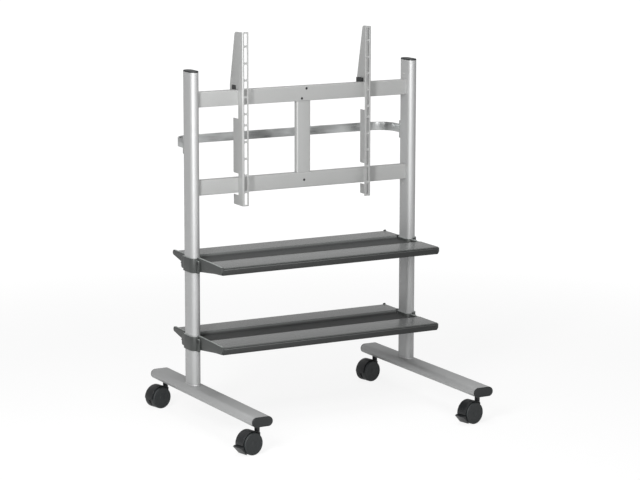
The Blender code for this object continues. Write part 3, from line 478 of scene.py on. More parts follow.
def extruded(outlines, plane, low, high, rim=0.0, rim_steps=2):
    """Outlines, the first round the others, given depth, with round rims."""
    curve = bpy.data.curves.new("outline", "CURVE")
    curve.dimensions = "2D"
    curve.fill_mode = "BOTH"
    curve.extrude = (high - low) / 2 - rim
    curve.bevel_depth = rim
    curve.bevel_resolution = rim_steps
    curve.offset = -rim
    for outline in outlines:
        spline = curve.splines.new("POLY")
        spline.points.add(len(outline) - 1)
        for point, (across, up) in zip(spline.points, outline):
            point.co = (across, up, 0, 1)
        spline.use_cyclic_u = True
    mesh = evaluated(linked("outline", curve))
    bpy.data.curves.remove(curve)
    mesh.transform(Matrix.Translation(depth_axis[plane] * ((low + high) / 2)) @ planes[plane])
    shape = bmesh.new()
    shape.from_mesh(mesh)
    bmesh.ops.remove_doubles(shape, verts=shape.verts, dist=0.00001)
    bmesh.ops.recalc_face_normals(shape, faces=shape.faces)
    shape.to_mesh(mesh)
    shape.free()
    return smooth(mesh)


# %% Skin over rings
def skinned(rings, closed=False):
    """A skin over rings of equally many points, its ends filled unless it is closed."""
    shape = bmesh.new()
    rows = [[shape.verts.new(point) for point in ring] for ring in rings]
    pairs = list(zip(rows, rows[1:])) + ([(rows[-1], rows[0])] if closed else [])
    for first, second in pairs:
        for index in range(len(first)):
            ahead_of = (index + 1) % len(first)
            shape.faces.new((first[index], first[ahead_of], second[ahead_of], second[index]))
    if not closed:
        shape.faces.new(rows[0])
        shape.faces.new(rows[-1])
    bmesh.ops.recalc_face_normals(shape, faces=shape.faces)
    mesh = bpy.data.meshes.new("skin")
    shape.to_mesh(mesh)
    shape.free()
    return smooth(mesh)


def circle(radius, height, steps):
    """A ring about Z."""
    return [(x, y, height) for x, y in whole_circle(radius, steps)]


def turned(profile, steps=48, closed=False):
    """A profile of radius and height, turned about Z."""
    return skinned([circle(radius, height, steps) for radius, height in profile], closed)


def rod(radius, low, high, plane, place=(0, 0)):
    """A round bar square to a plane."""
    return extruded([moved(whole_circle(radius, 24), *place)], plane, low, high)


# %% Join and cut
def worked(mesh, *steps):
    """Join, cut or intersect a mesh with others, one step after the other."""
    thing = linked("scratch", mesh)
    tools = []
    for operation, other in steps:
        tool = linked("scratch", other)
        boolean = thing.modifiers.new("step", "BOOLEAN")
        boolean.operation, boolean.solver, boolean.object = operation, "EXACT", tool
        tools.append(tool)
    result = evaluated(thing)
    for tool in tools:
        bpy.data.objects.remove(tool, do_unlink=True)
    return smooth(result)


def broken_edges(mesh, width, degrees=40, segments=2):
    """Take the sharpness off the edges of a finished mesh."""
    thing = linked("scratch", mesh)
    bevel = thing.modifiers.new("edges", "BEVEL")
    bevel.width, bevel.segments = width, segments
    bevel.limit_method, bevel.angle_limit = "ANGLE", math.radians(degrees)
    return smooth(evaluated(thing))


def joined(*meshes):
    """One mesh out of several that only touch or overlap."""
    shape = bmesh.new()
    for mesh in meshes:
        shape.from_mesh(mesh)
    mesh = bpy.data.meshes.new("joined")
    shape.to_mesh(mesh)
    shape.free()
    return smooth(mesh)


# %% [markdown]
# ## Showing a piece
#
# A finished mesh goes into the scene as an object at a place given from the middle of the cart. It
# takes the record's slot with its finish, or a finish of its own, rides on the body it belongs to,
# and stands for the solids that it covers.

# %% Put a piece on the cart
shown = []


def show(name, mesh, slot, body, *solids, at=(0, 0, 0), turned_by=None, finish=None):
    """Put a piece on the cart, riding on a body and standing for solids."""
    thing = linked(name, mesh)
    mesh.materials.clear()
    mesh.materials.append(finish or finishes[slot])
    matrix = Matrix.Translation(middle + Vector(at))
    thing.matrix_world = matrix @ turned_by if turned_by else matrix
    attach(thing, body)
    if solids:
        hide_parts(*solids)
    shown.append(name)


# %% [markdown]
# ## Posts and their caps
#
# A post is a flat oval tube, open at the top, where a moulded cap sits on its rim. The cap has a
# raised border round a shallow dish, so it is skinned from ovals that shrink step by step.

# %% Build the posts
post_length, post_width, post_wall, lid_thickness = 0.080, 0.035, 0.003, 0.005
post_bottom, post_top = left_low.z, left_high.z
post_outer = oval(post_length, post_width, upright=True)
post_inner = oval(post_length - 2 * post_wall, post_width - 2 * post_wall, upright=True)
post_seat = oval(post_length + 0.0006, post_width + 0.0006, upright=True)


def oval_lid(thickness, rim, place_ring):
    """A lid for the tube with a round rim, a border and a shallow dish, from its seat upward."""
    border, dish = 0.0034, 0.0009
    profile = [(0.0, 0.0)]
    profile += [(rim - x, thickness - rim + y) for x, y in arc((0, 0), rim, 0, math.pi / 2, 4)]
    profile += [
        (border, thickness), (border + dish, thickness - dish * 0.7),
        (border + 2 * dish, thickness - dish),
    ]
    return skinned([
        place_ring(oval(post_length - 2 * inset, post_width - 2 * inset), height)
        for inset, height in profile
    ])


def stand_up(outline, height):
    """An outline drawn front to back, laid flat at a height."""
    return [(-up, across, height) for across, up in outline]


for name, side in sides:
    place = (side * post_x, 0, 0)
    tube = extruded([post_outer, post_inner], "plan", post_bottom, post_top, 0.0005)
    show(name + "_post_tube", tube, "silver_tube", "frame", name + "_post", at=place)
    cap_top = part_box(name + "_post_cap")[1].z
    lid = oval_lid(lid_thickness, rim=0.0018, place_ring=stand_up)
    show(
        name + "_post_lid", lid, "black_plastic", "frame", name + "_post_cap",
        at=(side * post_x, 0, cap_top - lid_thickness),
    )
print("posts from", round(post_bottom, 4), "to", round(post_top, 4))

# %% [markdown]
# ## Feet, end caps and welds
#
# Each foot is the same oval tube lying flat, and its ends are closed by caps with a raised border.
# The post stands on the flat of the foot in a thin weld, a small fillet that runs all round it.

# %% Build the feet
foot_low, foot_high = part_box("left_foot")
foot_z = (foot_low.z + foot_high.z) / 2
foot_ends = (foot_low.y - middle.y, foot_high.y - middle.y)
foot_outer = oval(post_length, post_width)
foot_inner = oval(0.074, 0.029)


def face_front(outline, height):
    """An outline seen from the front, its height pointing forward."""
    return [(across, -height, up) for across, up in outline]


half_turn = Matrix.Rotation(math.pi, 4, "Z")
for name, side in sides:
    place = (side * post_x, 0, foot_z)
    tube = extruded([foot_outer, foot_inner], "front", *foot_ends, 0.0005)
    show(
        name + "_foot_tube", tube, "silver_tube", "frame", name + "_foot", at=place,
        finish=foot_tube,
    )
    for end, edge, spin in (("front", foot_ends[0], None), ("rear", foot_ends[1], half_turn)):
        plug = oval_lid(thickness=0.0043, rim=0.0016, place_ring=face_front)
        show(
            f"{name}_foot_{end}_plug", plug, "black_plastic", "frame", f"{name}_foot_{end}_cap",
            at=(side * post_x, edge, foot_z), turned_by=spin,
        )
print("feet", round(foot_ends[1] - foot_ends[0], 3), "long")

# %% Run the welds round the posts
weld_width, weld_height, weld_steps = 0.0030, 0.0032, 4
weld_seat = foot_high.z + 0.0002
for name, side in sides:
    rings = []
    for step in range(weld_steps + 1):
        share = step / weld_steps
        spread = weld_width * (1 - math.sin(share * math.pi / 2))
        lift = weld_height * (1 - math.cos(share * math.pi / 2))
        outline = oval(post_length + 2 * spread, post_width + 2 * spread)
        rings.append(stand_up(outline, weld_seat + lift))
    inside = oval(post_length - 0.001, post_width - 0.001)
    rings += [stand_up(inside, foot_high.z + weld_height), stand_up(inside, weld_seat)]
    weld = skinned(rings, closed=True)
    show(name + "_post_weld", weld, "silver_tube", "frame", at=(side * post_x, 0, 0))
print("welds", weld_width, "wide and", weld_height, "high")

# %% [markdown]
# ## Crossbars, the centre upright and their screws
#
# Two box tubes run from post to post, and a shallower box tube stands between them. Three dome
# screws with a hexagon socket hold it from the front, and four more sit on the posts' inner
# flanks, just clear of the bars.

# %% Build the bars
bar_boxes = {level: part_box(level + "_crossbar") for level in ("upper", "lower")}
bar_z = {level: (low.z + high.z) / 2 for level, (low, high) in bar_boxes.items()}
bar_reach = (bar_boxes["upper"][1].x - bar_boxes["upper"][0].x) / 2
bar_front, bar_half_height = 0.015, 0.0275
bar_tube = [box_outline(0.030, 0.055, 0.003), box_outline(0.026, 0.051, 0.001)]
for level in ("upper", "lower"):
    bar = extruded(bar_tube, "side", -bar_reach, bar_reach)
    show(
        level + "_bar", bar, "silver_sheet", "frame", level + "_crossbar", at=(0, 0, bar_z[level])
    )
upright_low, upright_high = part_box("centre_upright")
upright_tube = [box_outline(0.057, 0.0225, 0.005, 7), box_outline(0.053, 0.0185, 0.003, 7)]
upright = extruded(upright_tube, "plan", upright_low.z, upright_high.z)
show(
    "centre_box_tube", upright, "silver_sheet", "frame", "centre_upright",
    at=(0, (upright_low.y + upright_high.y) / 2 - middle.y, 0),
)
print("bars", round(2 * bar_reach, 3), "long, upright", round(upright_high.z - upright_low.z, 3))


# %% Build dome screws with a hexagon socket
def dome_screw(radius, height, shank, length, socket):
    """A dome-headed screw seated at height zero, with a hexagon socket."""
    near_axis = 0.00002
    profile = [(near_axis, -length), (shank, -length), (shank, 0), (radius, 0)]
    profile += [(radius, height * 0.25)]
    profile += [
        (radius * math.cos(turn), height * (0.25 + 0.75 * math.sin(turn)))
        for turn in (math.pi / 8, math.pi / 4, 3 * math.pi / 8)
    ]
    profile.append((near_axis, height))
    hexagon = arc((0, 0), socket, 0, 2 * math.pi * 5 / 6, 5)
    pocket = extruded([hexagon], "plan", height * 0.35, height * 2)
    return worked(turned(profile, 32), ("DIFFERENCE", pocket))


to_front = Matrix.Rotation(math.pi / 2, 4, "X")
for label, x, z in (
    ("upper_crossbar_screw_1", 0.0095, bar_z["upper"] + 0.018),
    ("upper_crossbar_screw_2", -0.0095, bar_z["upper"] - 0.018),
    ("lower_crossbar_screw_1", 0.0, bar_z["lower"]),
):
    screw = dome_screw(radius=0.0045, height=0.0020, shank=0.0022, length=0.008, socket=0.0018)
    show(
        label.replace("crossbar", "bar"), screw, "black_steel", "frame", label,
        at=(x, -bar_front, z), turned_by=to_front,
    )
for name, side in sides:
    inward = Matrix.Rotation(-side * math.pi / 2, 4, "Y")
    for level, z in (("upper", bar_z["upper"] + 0.0485), ("lower", bar_z["lower"] - 0.0485)):
        screw = dome_screw(radius=0.0042, height=0.0018, shank=0.0020, length=0.002, socket=0.0016)
        show(
            f"{name}_{level}_flank_screw", screw, "handle_steel", "frame",
            at=(side * (post_x - post_width / 2), 0.004, z), turned_by=inward, finish=bright_steel,
        )
print("pieces so far", len(shown))

# %% [markdown]
# ## The push handle
#
# One flat bar leaves a saddle plate on the back of each post, bends through a quarter circle and
# runs across. A small rectangle with eased corners is carried along that path, and each ring
# stands square to it.

# %% Sweep the handle
handle_low, handle_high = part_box("push_handle")
handle_z = (handle_low.z + handle_high.z) / 2
handle_back, handle_bend, handle_thickness = 0.160, 0.068, 0.005
bar_section = box_outline(handle_thickness, 0.032, 0.0014, 3)
corner = (post_x - handle_bend, handle_back - handle_bend)
right_half = [(post_x, post_length / 2 + 0.0015), (post_x, corner[1] - 0.001)]
right_half += arc(corner, handle_bend, 0, math.pi / 2, 20)
path = right_half + [(-x, y) for x, y in reversed(right_half)]
last = len(path) - 1
rings = []
for index, point in enumerate(path):
    before, after = Vector(path[max(index - 1, 0)]), Vector(path[min(index + 1, last)])
    along = (after - before).normalized()
    out = Vector((along.y, -along.x))
    rings.append([(point[0] + out.x * s, point[1] + out.y * s, t) for s, t in bar_section])
handle = skinned(rings)
print("handle swept through", len(rings), "rings")

# %% Add the saddles and their screws
saddle_front, saddle_back = post_length / 2 - 0.005, post_length / 2 + 0.0048
saddle_outline = box_outline(0.026, saddle_back - saddle_front, 0.0015, 3)
saddles = []
for name, side in sides:
    plate = moved(saddle_outline, side * post_x, (saddle_front + saddle_back) / 2)
    block = extruded([plate], "plan", -0.033, 0.033, 0.0010)
    hollow = extruded([moved(post_seat, side * post_x, 0)], "plan", -0.05, 0.05)
    saddles.append(worked(block, ("DIFFERENCE", hollow)))
show(
    "push_bar", joined(handle, *saddles), "handle_steel", "frame", "push_handle",
    at=(0, 0, handle_z),
)
to_rear = Matrix.Rotation(-math.pi / 2, 4, "X")
for name, side in sides:
    for end, lift in (("upper", 0.025), ("lower", -0.025)):
        screw = dome_screw(radius=0.0048, height=0.0024, shank=0.0025, length=0.003, socket=0.0019)
        show(
            f"{name}_saddle_{end}_screw", screw, "black_steel", "frame",
            at=(side * post_x, saddle_back, handle_z + lift), turned_by=to_rear,
        )
print("handle", round(handle_high.x - handle_low.x, 3), "wide at", round(handle_z, 3))

# %% [markdown]
# ## Screen arms
#
# An arm is one folded sheet: a deep side plate with the hook and claw, a tight bend and a narrow
# front flange full of slots. The plan of the fold is given height, the side view trims it to
# shape, and the row of slots is cut out of the flange. Last, the cut edges lose their sharpness.
# A plastic block in the hook rests on the bar, with a leg behind it. As in the photograph, both
# arms stand a few millimetres further left along the bars than their solids.

# %% Draw the side view of an arm
arm_front, sheet, bend, flange = 0.050, 0.003, 0.004, 0.0247
arm_low, arm_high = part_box("left_screen_arm")
upper_top, upper_bottom = (bar_z["upper"] + sign * bar_half_height for sign in (1, -1))
lower_top, lower_bottom = (bar_z["lower"] + sign * bar_half_height for sign in (1, -1))
bar_face, hook_low = -bar_front - 0.0005, bar_z["upper"]
notch_front, notch_seat, notch_top = 0.0015, upper_top + 0.0005, upper_top + 0.0153
hook_inner, hook_outer = 0.0365, 0.050
claw_back, claw_top, claw_bottom = 0.022, lower_top + 0.0145, lower_bottom - 0.0098
back_edge, back_top = 0.024, upper_bottom - 0.0495
side_view = [
    (-0.060, arm_low.z), (-arm_front, arm_low.z), (claw_back, lower_bottom - 0.0453),
    (claw_back, claw_bottom), (bar_face, claw_bottom), (bar_face, claw_top), (claw_back, claw_top),
    (back_edge, lower_top + 0.0185), (back_edge, back_top), (bar_face, back_top),
    (bar_face, notch_seat), (notch_front, notch_seat), (notch_front, notch_top),
    (hook_inner, notch_top), (hook_inner, hook_low), (0.046, hook_low),
    (hook_outer, hook_low + 0.004), (hook_outer, upper_top + 0.015), (0.040, upper_top + 0.062),
    (0.0115, arm_high.z - 0.0085), (0.006, arm_high.z - 0.0035), (0.001, arm_high.z - 0.0025),
    (-0.060, arm_high.z),
]
block_front, block_leg, block_back = 0.002, 0.0155, 0.036
block_seat, block_top = upper_top + 0.0003, upper_top + 0.0147
block_view = [
    (block_front, block_seat), (block_leg, block_seat), (block_leg, hook_low),
    (block_back, hook_low), (block_back, block_top), (block_front, block_top),
]
print("arms", round(arm_high.z - arm_low.z, 3), "tall, seated at", round(notch_seat, 4))


# %% Draw the fold and the slots
def fold_outline(side):
    """The plan of the folded sheet, its outer face at zero."""
    outer = arc((-bend, bend - arm_front), bend, 0, -math.pi / 2, 8)
    inner = arc((-bend, bend - arm_front), bend - sheet, -math.pi / 2, 0, 8)
    outline = [(0, 0.060)] + outer + [(-flange, -arm_front), (-flange, sheet - arm_front)]
    return [(side * x, y) for x, y in outline + inner + [(-sheet, 0.060)]]


def slot_row(side):
    """Eleven slots from the top down: short at the ends and in the middle."""
    width, corner_radius, from_outer_face, bridge = 0.0118, 0.0038, 0.0136, 0.0072
    lengths = [0.043] + [0.0535] * 4 + [0.033] + [0.0535] * 4 + [0.043]
    top = arm_high.z - 0.0052
    row = []
    for length in lengths:
        slot = box_outline(width, length, corner_radius, 6)
        row.append(moved(slot, -side * from_outer_face, top - length / 2))
        top -= length + bridge
    return row


# %% Fold, trim and slot the arms
for name, side in sides:
    low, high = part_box(name + "_screen_arm")
    outer_x = (high.x - 0.0055 if side > 0 else low.x - 0.004) - middle.x
    place = (outer_x, 0, 0)
    fold = extruded([fold_outline(side)], "plan", arm_low.z - 0.01, arm_high.z + 0.01)
    view = extruded([side_view], "side", -0.04, 0.04)
    slots = extruded(slot_row(side), "front", -0.06, -0.04)
    arm = worked(fold, ("INTERSECT", view), ("DIFFERENCE", slots))
    arm = broken_edges(arm, 0.00035)
    body = name + "_arm"
    show(name + "_arm_plate", arm, "silver_sheet", body, name + "_screen_arm", at=place)
    block_ends = sorted((-side * 0.0005, -side * 0.0148))
    block = extruded([eased(block_view, 0.0015, 3)], "side", *block_ends, 0.0008)
    show(name + "_arm_block", block, "glide_black", body, name + "_arm_glide", at=place)
    print(name, "arm", len(arm.polygons), "faces at", round(outer_x, 4))

# %% [markdown]
# ## Trays
#
# Each tray is a folded sheet with one section from end to end: a lip at the back, a panel, a sunk
# trough, a wide front panel and a deep front lip with a groove and a bead. The section's corners
# are eased to the bend of the sheet, and a notch at each end clears the post. The ends run a
# little way over or into the bracket walls, which closes the joint between them.

# %% Build the trays
shelf_z = {"upper": 0.602, "lower": 0.315}
thick = 0.0015
upper_line = [
    (0.150, -0.022), (0.150, -0.0020), (0.148, 0.0), (0.038, 0.0), (0.034, -0.012),
    (-0.107, -0.012), (-0.111, 0.0), (-0.235, 0.0), (-0.236, -0.0010), (-0.236, -0.0035),
    (-0.2338, -0.0043), (-0.2338, -0.0060),
]
bead_line = arc((-0.235, -0.0080), 0.0020, math.pi / 2, 3 * math.pi / 2, 8)
foot_line = [(-0.235, -0.026), (-0.233, -0.028), (-0.221, -0.028), (-0.221, thick - 0.028)]
under_line = [
    (-0.2313, thick - 0.028), (-0.2323, thick - 0.027), (-0.2323, -thick), (-0.11175, -thick),
    (-0.10775, -0.0135), (0.03475, -0.0135), (0.03875, -thick), (0.148, -thick), (0.1485, -0.0020),
    (0.1485, -0.022),
]
section = eased(upper_line, 0.0012) + bead_line + foot_line + under_line
tray_reach = (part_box("upper_shelf_tray")[1].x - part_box("upper_shelf_tray")[0].x) / 2
past_wall, notch_gap = 0.0034, 0.0053
notch_x, notch_y = post_width / 2 + notch_gap, post_length / 2 + notch_gap
for level in ("upper", "lower"):
    sheet_mesh = extruded([section], "side", -tray_reach - past_wall, tray_reach + past_wall)
    cuts = []
    for name, side in sides:
        inner, outer = sorted((side * (post_x - notch_x), side * post_x))
        corners = [(inner, -notch_y), (outer, -notch_y), (outer, notch_y), (inner, notch_y)]
        cuts.append(("DIFFERENCE", extruded([corners], "plan", -0.05, 0.01)))
    tray = worked(sheet_mesh, *cuts)
    show(
        level + "_tray", tray, "anthracite_paint", level + "_shelf", level + "_shelf_tray",
        at=(0, 0, shelf_z[level]),
    )
print("trays", round(2 * tray_reach, 3), "wide")

# %% [markdown]
# ## Brackets, clamps and bolts
#
# A bracket is a casting: a tapered side wall with a round rim, half of the collar and two ledges
# under the sheet. The left wall's rim stands a little above the sheet, and the right wall stays
# under it. The clamp is the other half of the collar with two tall ears, and two bolts whose heads
# lie nearly flush in the ears draw the halves together.

# %% Draw the bracket
wall, collar_wall, gap = 0.0096, 0.005, 0.0003
tip = arc((0.156, -0.007), 0.010, -math.pi / 2, math.pi / 2, 10)
low_corners = [
    (-0.245, -0.026), (-0.181, -0.030), (-0.044, -0.0455), (0.060, -0.0455), (0.114, -0.032)
]
low_edge = eased(low_corners, 0.006)[2:]
bracket_views = {
    "left": low_edge + tip + [(0.052, 0.003), (-0.052, 0.007), (-0.181, 0.004), (-0.245, 0.002)],
    "right": low_edge + tip + [(0.152, -0.003), (-0.245, -0.003)],
}


def half_ring(direction):
    """Half of the collar round the post, open towards the other half."""
    radius = post_width / 2 + collar_wall
    straight = post_length / 2 - post_width / 2
    outline = arc((0.0002, -straight), radius, -math.pi / 2, 0, 12)
    outline += arc((0.0002, straight), radius, 0, math.pi / 2, 12)
    return [(direction * x, y) for x, y in outline]


def wall_plan(side):
    """The plan of the wall, with its front corner rounded off beside the tray's lip."""
    outline = [(0.001, 0.2), (0.001, -0.228)] + arc((-0.006, -0.231), 0.006, -0.15, -math.pi / 2, 8)
    outline += [(-0.011, -0.237), (-0.011, 0.2)]
    return [(side * x, y) for x, y in outline]


under, ledge = -thick - gap, 0.006
trough_under = -0.012 - thick - gap
front_ledge = [
    (-0.222, under), (-0.222, under - ledge), (-0.1185, under - ledge),
    (-0.1145, trough_under - ledge), (-0.070, trough_under - ledge), (-0.070, trough_under),
    (-0.1085, trough_under), (-0.1125, under),
]
rear_ledge = [(0.070, under), (0.070, under - ledge), (0.140, under - ledge), (0.140, under)]

# %% Cast the brackets and clamps
post_space = extruded([post_seat], "plan", -0.07, 0.07)
wall_rim, collar_rim = 0.0030, 0.0012
ears = moved(box_outline(0.147, 0.046, 0.009, 6), 0.0065, -0.0265)
for level in ("upper", "lower"):
    for name, side in sides:
        place = (side * post_x, 0, shelf_z[level])
        body = level + "_shelf"
        wall_faces = sorted((-side * wall, 0))
        wall_mesh = extruded([bracket_views[name]], "side", *wall_faces, wall_rim, 3)
        collar = extruded([half_ring(-side)], "plan", -0.0455, -0.002, collar_rim)
        plan = extruded([wall_plan(side)], "plan", -0.06, 0.02)
        ledge_ends = sorted((-side * (wall + 0.016), -side * wall / 2))
        ledges = [extruded([view], "side", *ledge_ends) for view in (front_ledge, rear_ledge)]
        casting = worked(
            wall_mesh, ("INTERSECT", plan), ("UNION", collar), ("UNION", ledges[0]),
            ("UNION", ledges[1]), ("DIFFERENCE", post_space.copy()),
        )
        label = f"{level}_{name}"
        show(label + "_casting", casting, "bracket_grey", body, label + "_bracket", at=place)
        ear_faces = sorted((side * 0.0004, side * 0.0064))
        ear_mesh = extruded([ears], "side", *ear_faces, collar_rim)
        outer_ring = extruded([half_ring(side)], "plan", -0.0495, 0.0030, collar_rim)
        clamp = worked(outer_ring, ("UNION", ear_mesh), ("DIFFERENCE", post_space.copy()))
        show(label + "_collar", clamp, "bracket_grey", body, label + "_clamp", at=place)
print("pieces with the brackets", len(shown))

# %% Fit the bolts and washers
washer_x, bolt_sunk, bolt_reach, bolt_drop = post_x + 0.0060, 0.0042, 0.057, 0.014
washer_profile = [
    (0.0031, 0), (0.0053, 0), (0.0053, 0.0009), (0.0050, 0.0012), (0.0031, 0.0012)
]
for level in ("upper", "lower"):
    body = level + "_shelf"
    for name, side in sides:
        outward = Matrix.Rotation(side * math.pi / 2, 4, "Y")
        for end, sign in (("front", -1), ("rear", 1)):
            label = f"{level}_{name}_{end}"
            spot = Vector((side * washer_x, sign * bolt_reach, shelf_z[level] - bolt_drop))
            washer = turned(washer_profile, 36, closed=True)
            show(label + "_washer", washer, "black_steel", body, at=spot, turned_by=outward)
            bolt = dome_screw(
                radius=0.0043, height=0.0050, shank=0.0030, length=0.012, socket=0.0022
            )
            show(
                label + "_bolt", bolt, "black_steel", body, label + "_clamp_bolt",
                at=spot - Vector((side * bolt_sunk, 0, 0)), turned_by=outward,
            )
print("pieces with the bolts", len(shown))

# %% [markdown]
# ## Castors
#
# A castor trails behind its swivel: a curved cover over two wheels, a wall between them with the
# axle, and a neck up to the foot. They are drawn with the swivel at the origin and the wheels
# behind it along +X, then turned as in the photograph. The front pair has a pointed brake pedal.

# %% Shapes of the cover
trail, wheel_radius, hood_radius = 0.035, 0.040, 0.045
axle = (trail, wheel_radius)


def around(radius, angle):
    """A point about the axle, seen from the side."""
    return trail + radius * math.cos(angle), wheel_radius + radius * math.sin(angle)


low_turn, high_turn, web_turn = (math.radians(value) for value in (-1, 136, -54))
shell = arc(axle, hood_radius, low_turn, high_turn, 32)
shell += arc(axle, hood_radius - 0.0025, high_turn, low_turn, 32)
neck_top = wheel_radius + hood_radius * math.sin(high_turn)
web = arc(axle, wheel_radius - 0.0004, web_turn, low_turn, 8)
web += arc(axle, hood_radius - 0.0012, low_turn, high_turn, 32)
web += [(-0.010, neck_top), (-0.010, 0.046), (0.004, 0.042)]
web += arc(axle, 0.0085, math.pi, 3 * math.pi / 2, 8)
pin_turn = math.radians(-28)
pivot = around(0.031, pin_turn)
pin_back = (math.radians(62), math.radians(242))
pocket = arc(pivot, 0.0056, *pin_back, 8)
pocket += [around(0.055, web_turn), around(0.055, low_turn)]
print("cover", hood_radius, "round the axle, neck at", round(neck_top, 4))


# %% Build the cover with its wall, axle and socket
def castor_cover():
    """The turning body of a castor."""
    shell_mesh = extruded([shell], "front", -0.0215, 0.0215, 0.0010)
    web_mesh = extruded([web], "front", -0.00625, 0.00625, 0.0006)
    axle_mesh = rod(0.004, -0.0235, 0.0235, "front", axle)
    boss = turned([(0.0095, 0.054), (0.0095, 0.0772), (0.0087, 0.0780)], 40)
    for sign in (-1, 1):
        ends = sorted((sign * 0.00595, sign * 0.02))
        trim = extruded([[(-0.02, 0), (0.02, 0), (0.02, 0.0685), (-0.02, 0.0685)]], "front", *ends)
        boss = worked(boss, ("DIFFERENCE", trim))
    slot = extruded([pocket], "front", -0.0035, 0.0035)
    pin = rod(0.0018, -0.005, 0.005, "front", pivot)
    socket = rod(0.0045, 0.0535, 0.09, "plan")
    return worked(
        shell_mesh, ("UNION", web_mesh), ("UNION", axle_mesh), ("UNION", boss),
        ("DIFFERENCE", slot), ("UNION", pin), ("DIFFERENCE", socket),
    )


# %% Build the wheel, the neck and the pedal
def castor_wheel():
    """A wheel about Z with its inner face at zero: round tread edges, a rim and a dished face."""
    profile = [(0.0044, 0.0), (0.0372, 0.0)] + arc((0.0378, 0.0022), 0.0022, -math.pi / 2, 0, 4)
    profile += arc((0.0355, 0.0162), 0.0045, 0, math.pi / 2, 8)
    profile += [(0.0345, 0.0207), (0.0335, 0.0201), (0.0325, 0.0197), (0.0200, 0.0195)]
    profile += [(0.0096, 0.0195), (0.0090, 0.0201), (0.0082, 0.0203), (0.0002, 0.0203)]
    profile += [(0.0002, 0.0190), (0.0044, 0.0190)]
    return turned(profile, 72, closed=True)


def castor_neck():
    """The fixed stem: spigot, neck with a small collar, and the pin of the swivel."""
    profile = [
        (0.0001, 0.118), (0.0040, 0.118), (0.0045, 0.1175), (0.0045, 0.0997), (0.0095, 0.0997),
        (0.0095, 0.0790), (0.0088, 0.0783), (0.0040, 0.0783), (0.0040, 0.054), (0.0001, 0.054),
    ]
    return turned(profile, 40)


def brake_pedal():
    """A curved shoe with a pointed toe and a tongue on its pin."""
    top, low, heel, toe = (math.radians(value) for value in (-4, -36, -50, -7))
    inner, outer, point = 0.0436, 0.0456, 0.0550
    shoe = arc(axle, 0.0418, top, low, 10) + [around(inner, heel), around(outer, heel)]
    shoe += [around(point, toe - 0.0275), around(point, toe), around(outer, top)]
    shoe_mesh = extruded([shoe], "front", -0.0225, 0.0225, 0.0006)
    eye_radius = 0.0042
    half = eye_radius / inner
    tongue = arc(pivot, eye_radius, *pin_back, 10)
    tongue += [around(inner, pin_turn - half), around(inner, pin_turn + half)]
    tongue_mesh = extruded([tongue], "front", -0.0029, 0.0029)
    hole = rod(0.0022, -0.01, 0.01, "front", pivot)
    return worked(shoe_mesh, ("UNION", tongue_mesh), ("DIFFERENCE", hole))


# %% Set the four castors
swing = Matrix.Rotation(math.radians(192), 4, "Z")
cover_mesh, wheel_mesh = castor_cover(), castor_wheel()
neck_mesh, pedal_mesh = castor_neck(), brake_pedal()
wheel_seat = 0.007
for end in ("front", "rear"):
    for name, side in sides:
        label = f"{end}_{name}"
        swivel = next(joint for joint in frame["joints"] if joint["name"] == label + "_swivel")
        spot = Vector((swivel["pos_m"][0], swivel["pos_m"][1], 0)) - middle
        show(
            label + "_neck", neck_mesh.copy(), "black_plastic", "frame", label + "_castor_stem",
            at=spot, finish=castor_black_painted_shade,
        )
        show(
            label + "_cover", cover_mesh.copy(), "black_plastic", label + "_castor",
            label + "_castor_hood", at=spot, turned_by=swing, finish=castor_black_painted_shade,
        )
        for flank, sign in (("left", -1), ("right", 1)):
            lean = Matrix.Rotation(-sign * math.pi / 2, 4, "X")
            seat_at = Matrix.Translation((trail, sign * wheel_seat, wheel_radius))
            show(
                f"{label}_{flank}_roller", wheel_mesh.copy(), "wheel_black",
                f"{label}_wheel_{flank[0]}", f"{label}_castor_{flank}_wheel", at=spot,
                turned_by=swing @ seat_at @ lean,
            )
        if end == "front":
            show(
                label + "_pedal", pedal_mesh.copy(), "black_plastic", label + "_brake",
                label + "_castor_brake_pedal", at=spot, turned_by=swing, finish=castor_black_painted_shade,
            )
print("pieces", len(shown))

# %% [markdown]
# ## Floor, background and light
#
# The cart stands on a pale floor in front of white. Seen straight, the floor and the world glow
# nearly white, but the floor keeps part of the real light, so the cart's soft shadow stays. The
# main lamp is a tall soft box in front on the left. A weaker one fills in from the front, and one
# hangs above.

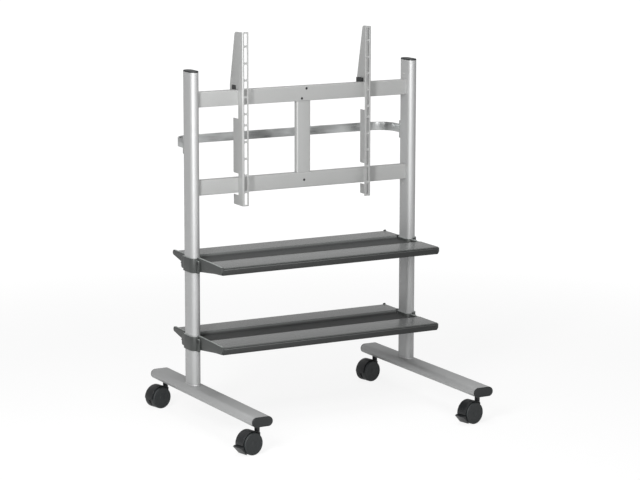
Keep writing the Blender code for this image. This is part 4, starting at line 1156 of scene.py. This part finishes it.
# %% Lay the floor
floor_mesh = bpy.data.meshes.new("floor")
floor_mesh.from_pydata([(-60, -60, 0), (60, -60, 0), (60, 60, 0), (-60, 60, 0)], [], [(0, 1, 2, 3)])
floor = linked("floor", floor_mesh)
ground = Finish("floor", (0.80, 0.80, 0.80), 0.9)
ground.feed(ground.surface, {"Specular IOR Level": 0.0})
ray_kinds = ("Is Camera Ray", "Is Glossy Ray", "Is Transmission Ray")
straight, mirrored, through = (
    ground.add("ShaderNodeLightPath", {}, {}, kind) for kind in ray_kinds
)
in_mirrors = 0.45
distance = ground.add("ShaderNodeVectorMath", {"operation": "LENGTH"}, {0: ground.place()}, "Value")
glow = ground.add("ShaderNodeEmission", {}, {"Color": (1, 1, 1, 1), "Strength": 1.08})
seen = straight * (distance.between(1.2, 4.5) * 0.2 + 0.8) + (mirrored + through) * in_mirrors
matt = Level(ground, ground.surface.outputs["BSDF"])
blend = ground.add("ShaderNodeMixShader", {}, {"Fac": seen, 1: matt, 2: glow})
ground.feed(ground.tree.nodes["Material Output"], {"Surface": blend})
floor_mesh.materials.append(ground.material)
print("floor", len(ground.tree.nodes), "nodes")

# %% Light the world
world = bpy.data.worlds.new("studio")
bpy.context.scene.world = world
world.use_nodes = True
sky = Shader(world.node_tree)
straight, mirrored = (sky.add("ShaderNodeLightPath", {}, {}, kind) for kind in ray_kinds[:2])
ambient = 0.17
seen = straight.maths("MAXIMUM", straight, mirrored * in_mirrors)
strength = seen * (1 - ambient) + ambient
sky.feed(sky.tree.nodes["Background"], {"Color": (1, 1, 1, 1), "Strength": strength})
print("nodes in the sky", len(sky.tree.nodes))


# %% Hang the lamps
def soft_box(name, towards, distance, height, width, tall, power):
    """A rectangular lamp in a direction from the cart, facing its middle."""
    lamp = bpy.data.lights.new(name, "AREA")
    lamp.shape, lamp.size, lamp.size_y, lamp.energy = "RECTANGLE", width, tall, power
    angle = math.radians(towards)
    spot = Vector((math.sin(angle) * distance, -math.cos(angle) * distance, height))
    aim = (Vector((0, 0, 0.8)) - spot).to_track_quat("-Z", "Y").to_matrix().to_4x4()
    linked(name, lamp).matrix_world = Matrix.Translation(spot) @ aim


soft_box("main_lamp", towards=-51, distance=2.8, height=1.7, width=0.6, tall=1.9, power=74)
soft_box("front_lamp", towards=-8, distance=3.6, height=1.8, width=1.6, tall=1.6, power=26)
soft_box("top_lamp", towards=0, distance=0.4, height=4.0, width=2.5, tall=2.5, power=50)
print("lamps", len(bpy.data.lights))

# %% [markdown]
# ## Last settings
#
# The picture keeps colours as they are written, so the view transform is Standard.

# %% Finish
bpy.context.scene.view_settings.view_transform = "Standard"
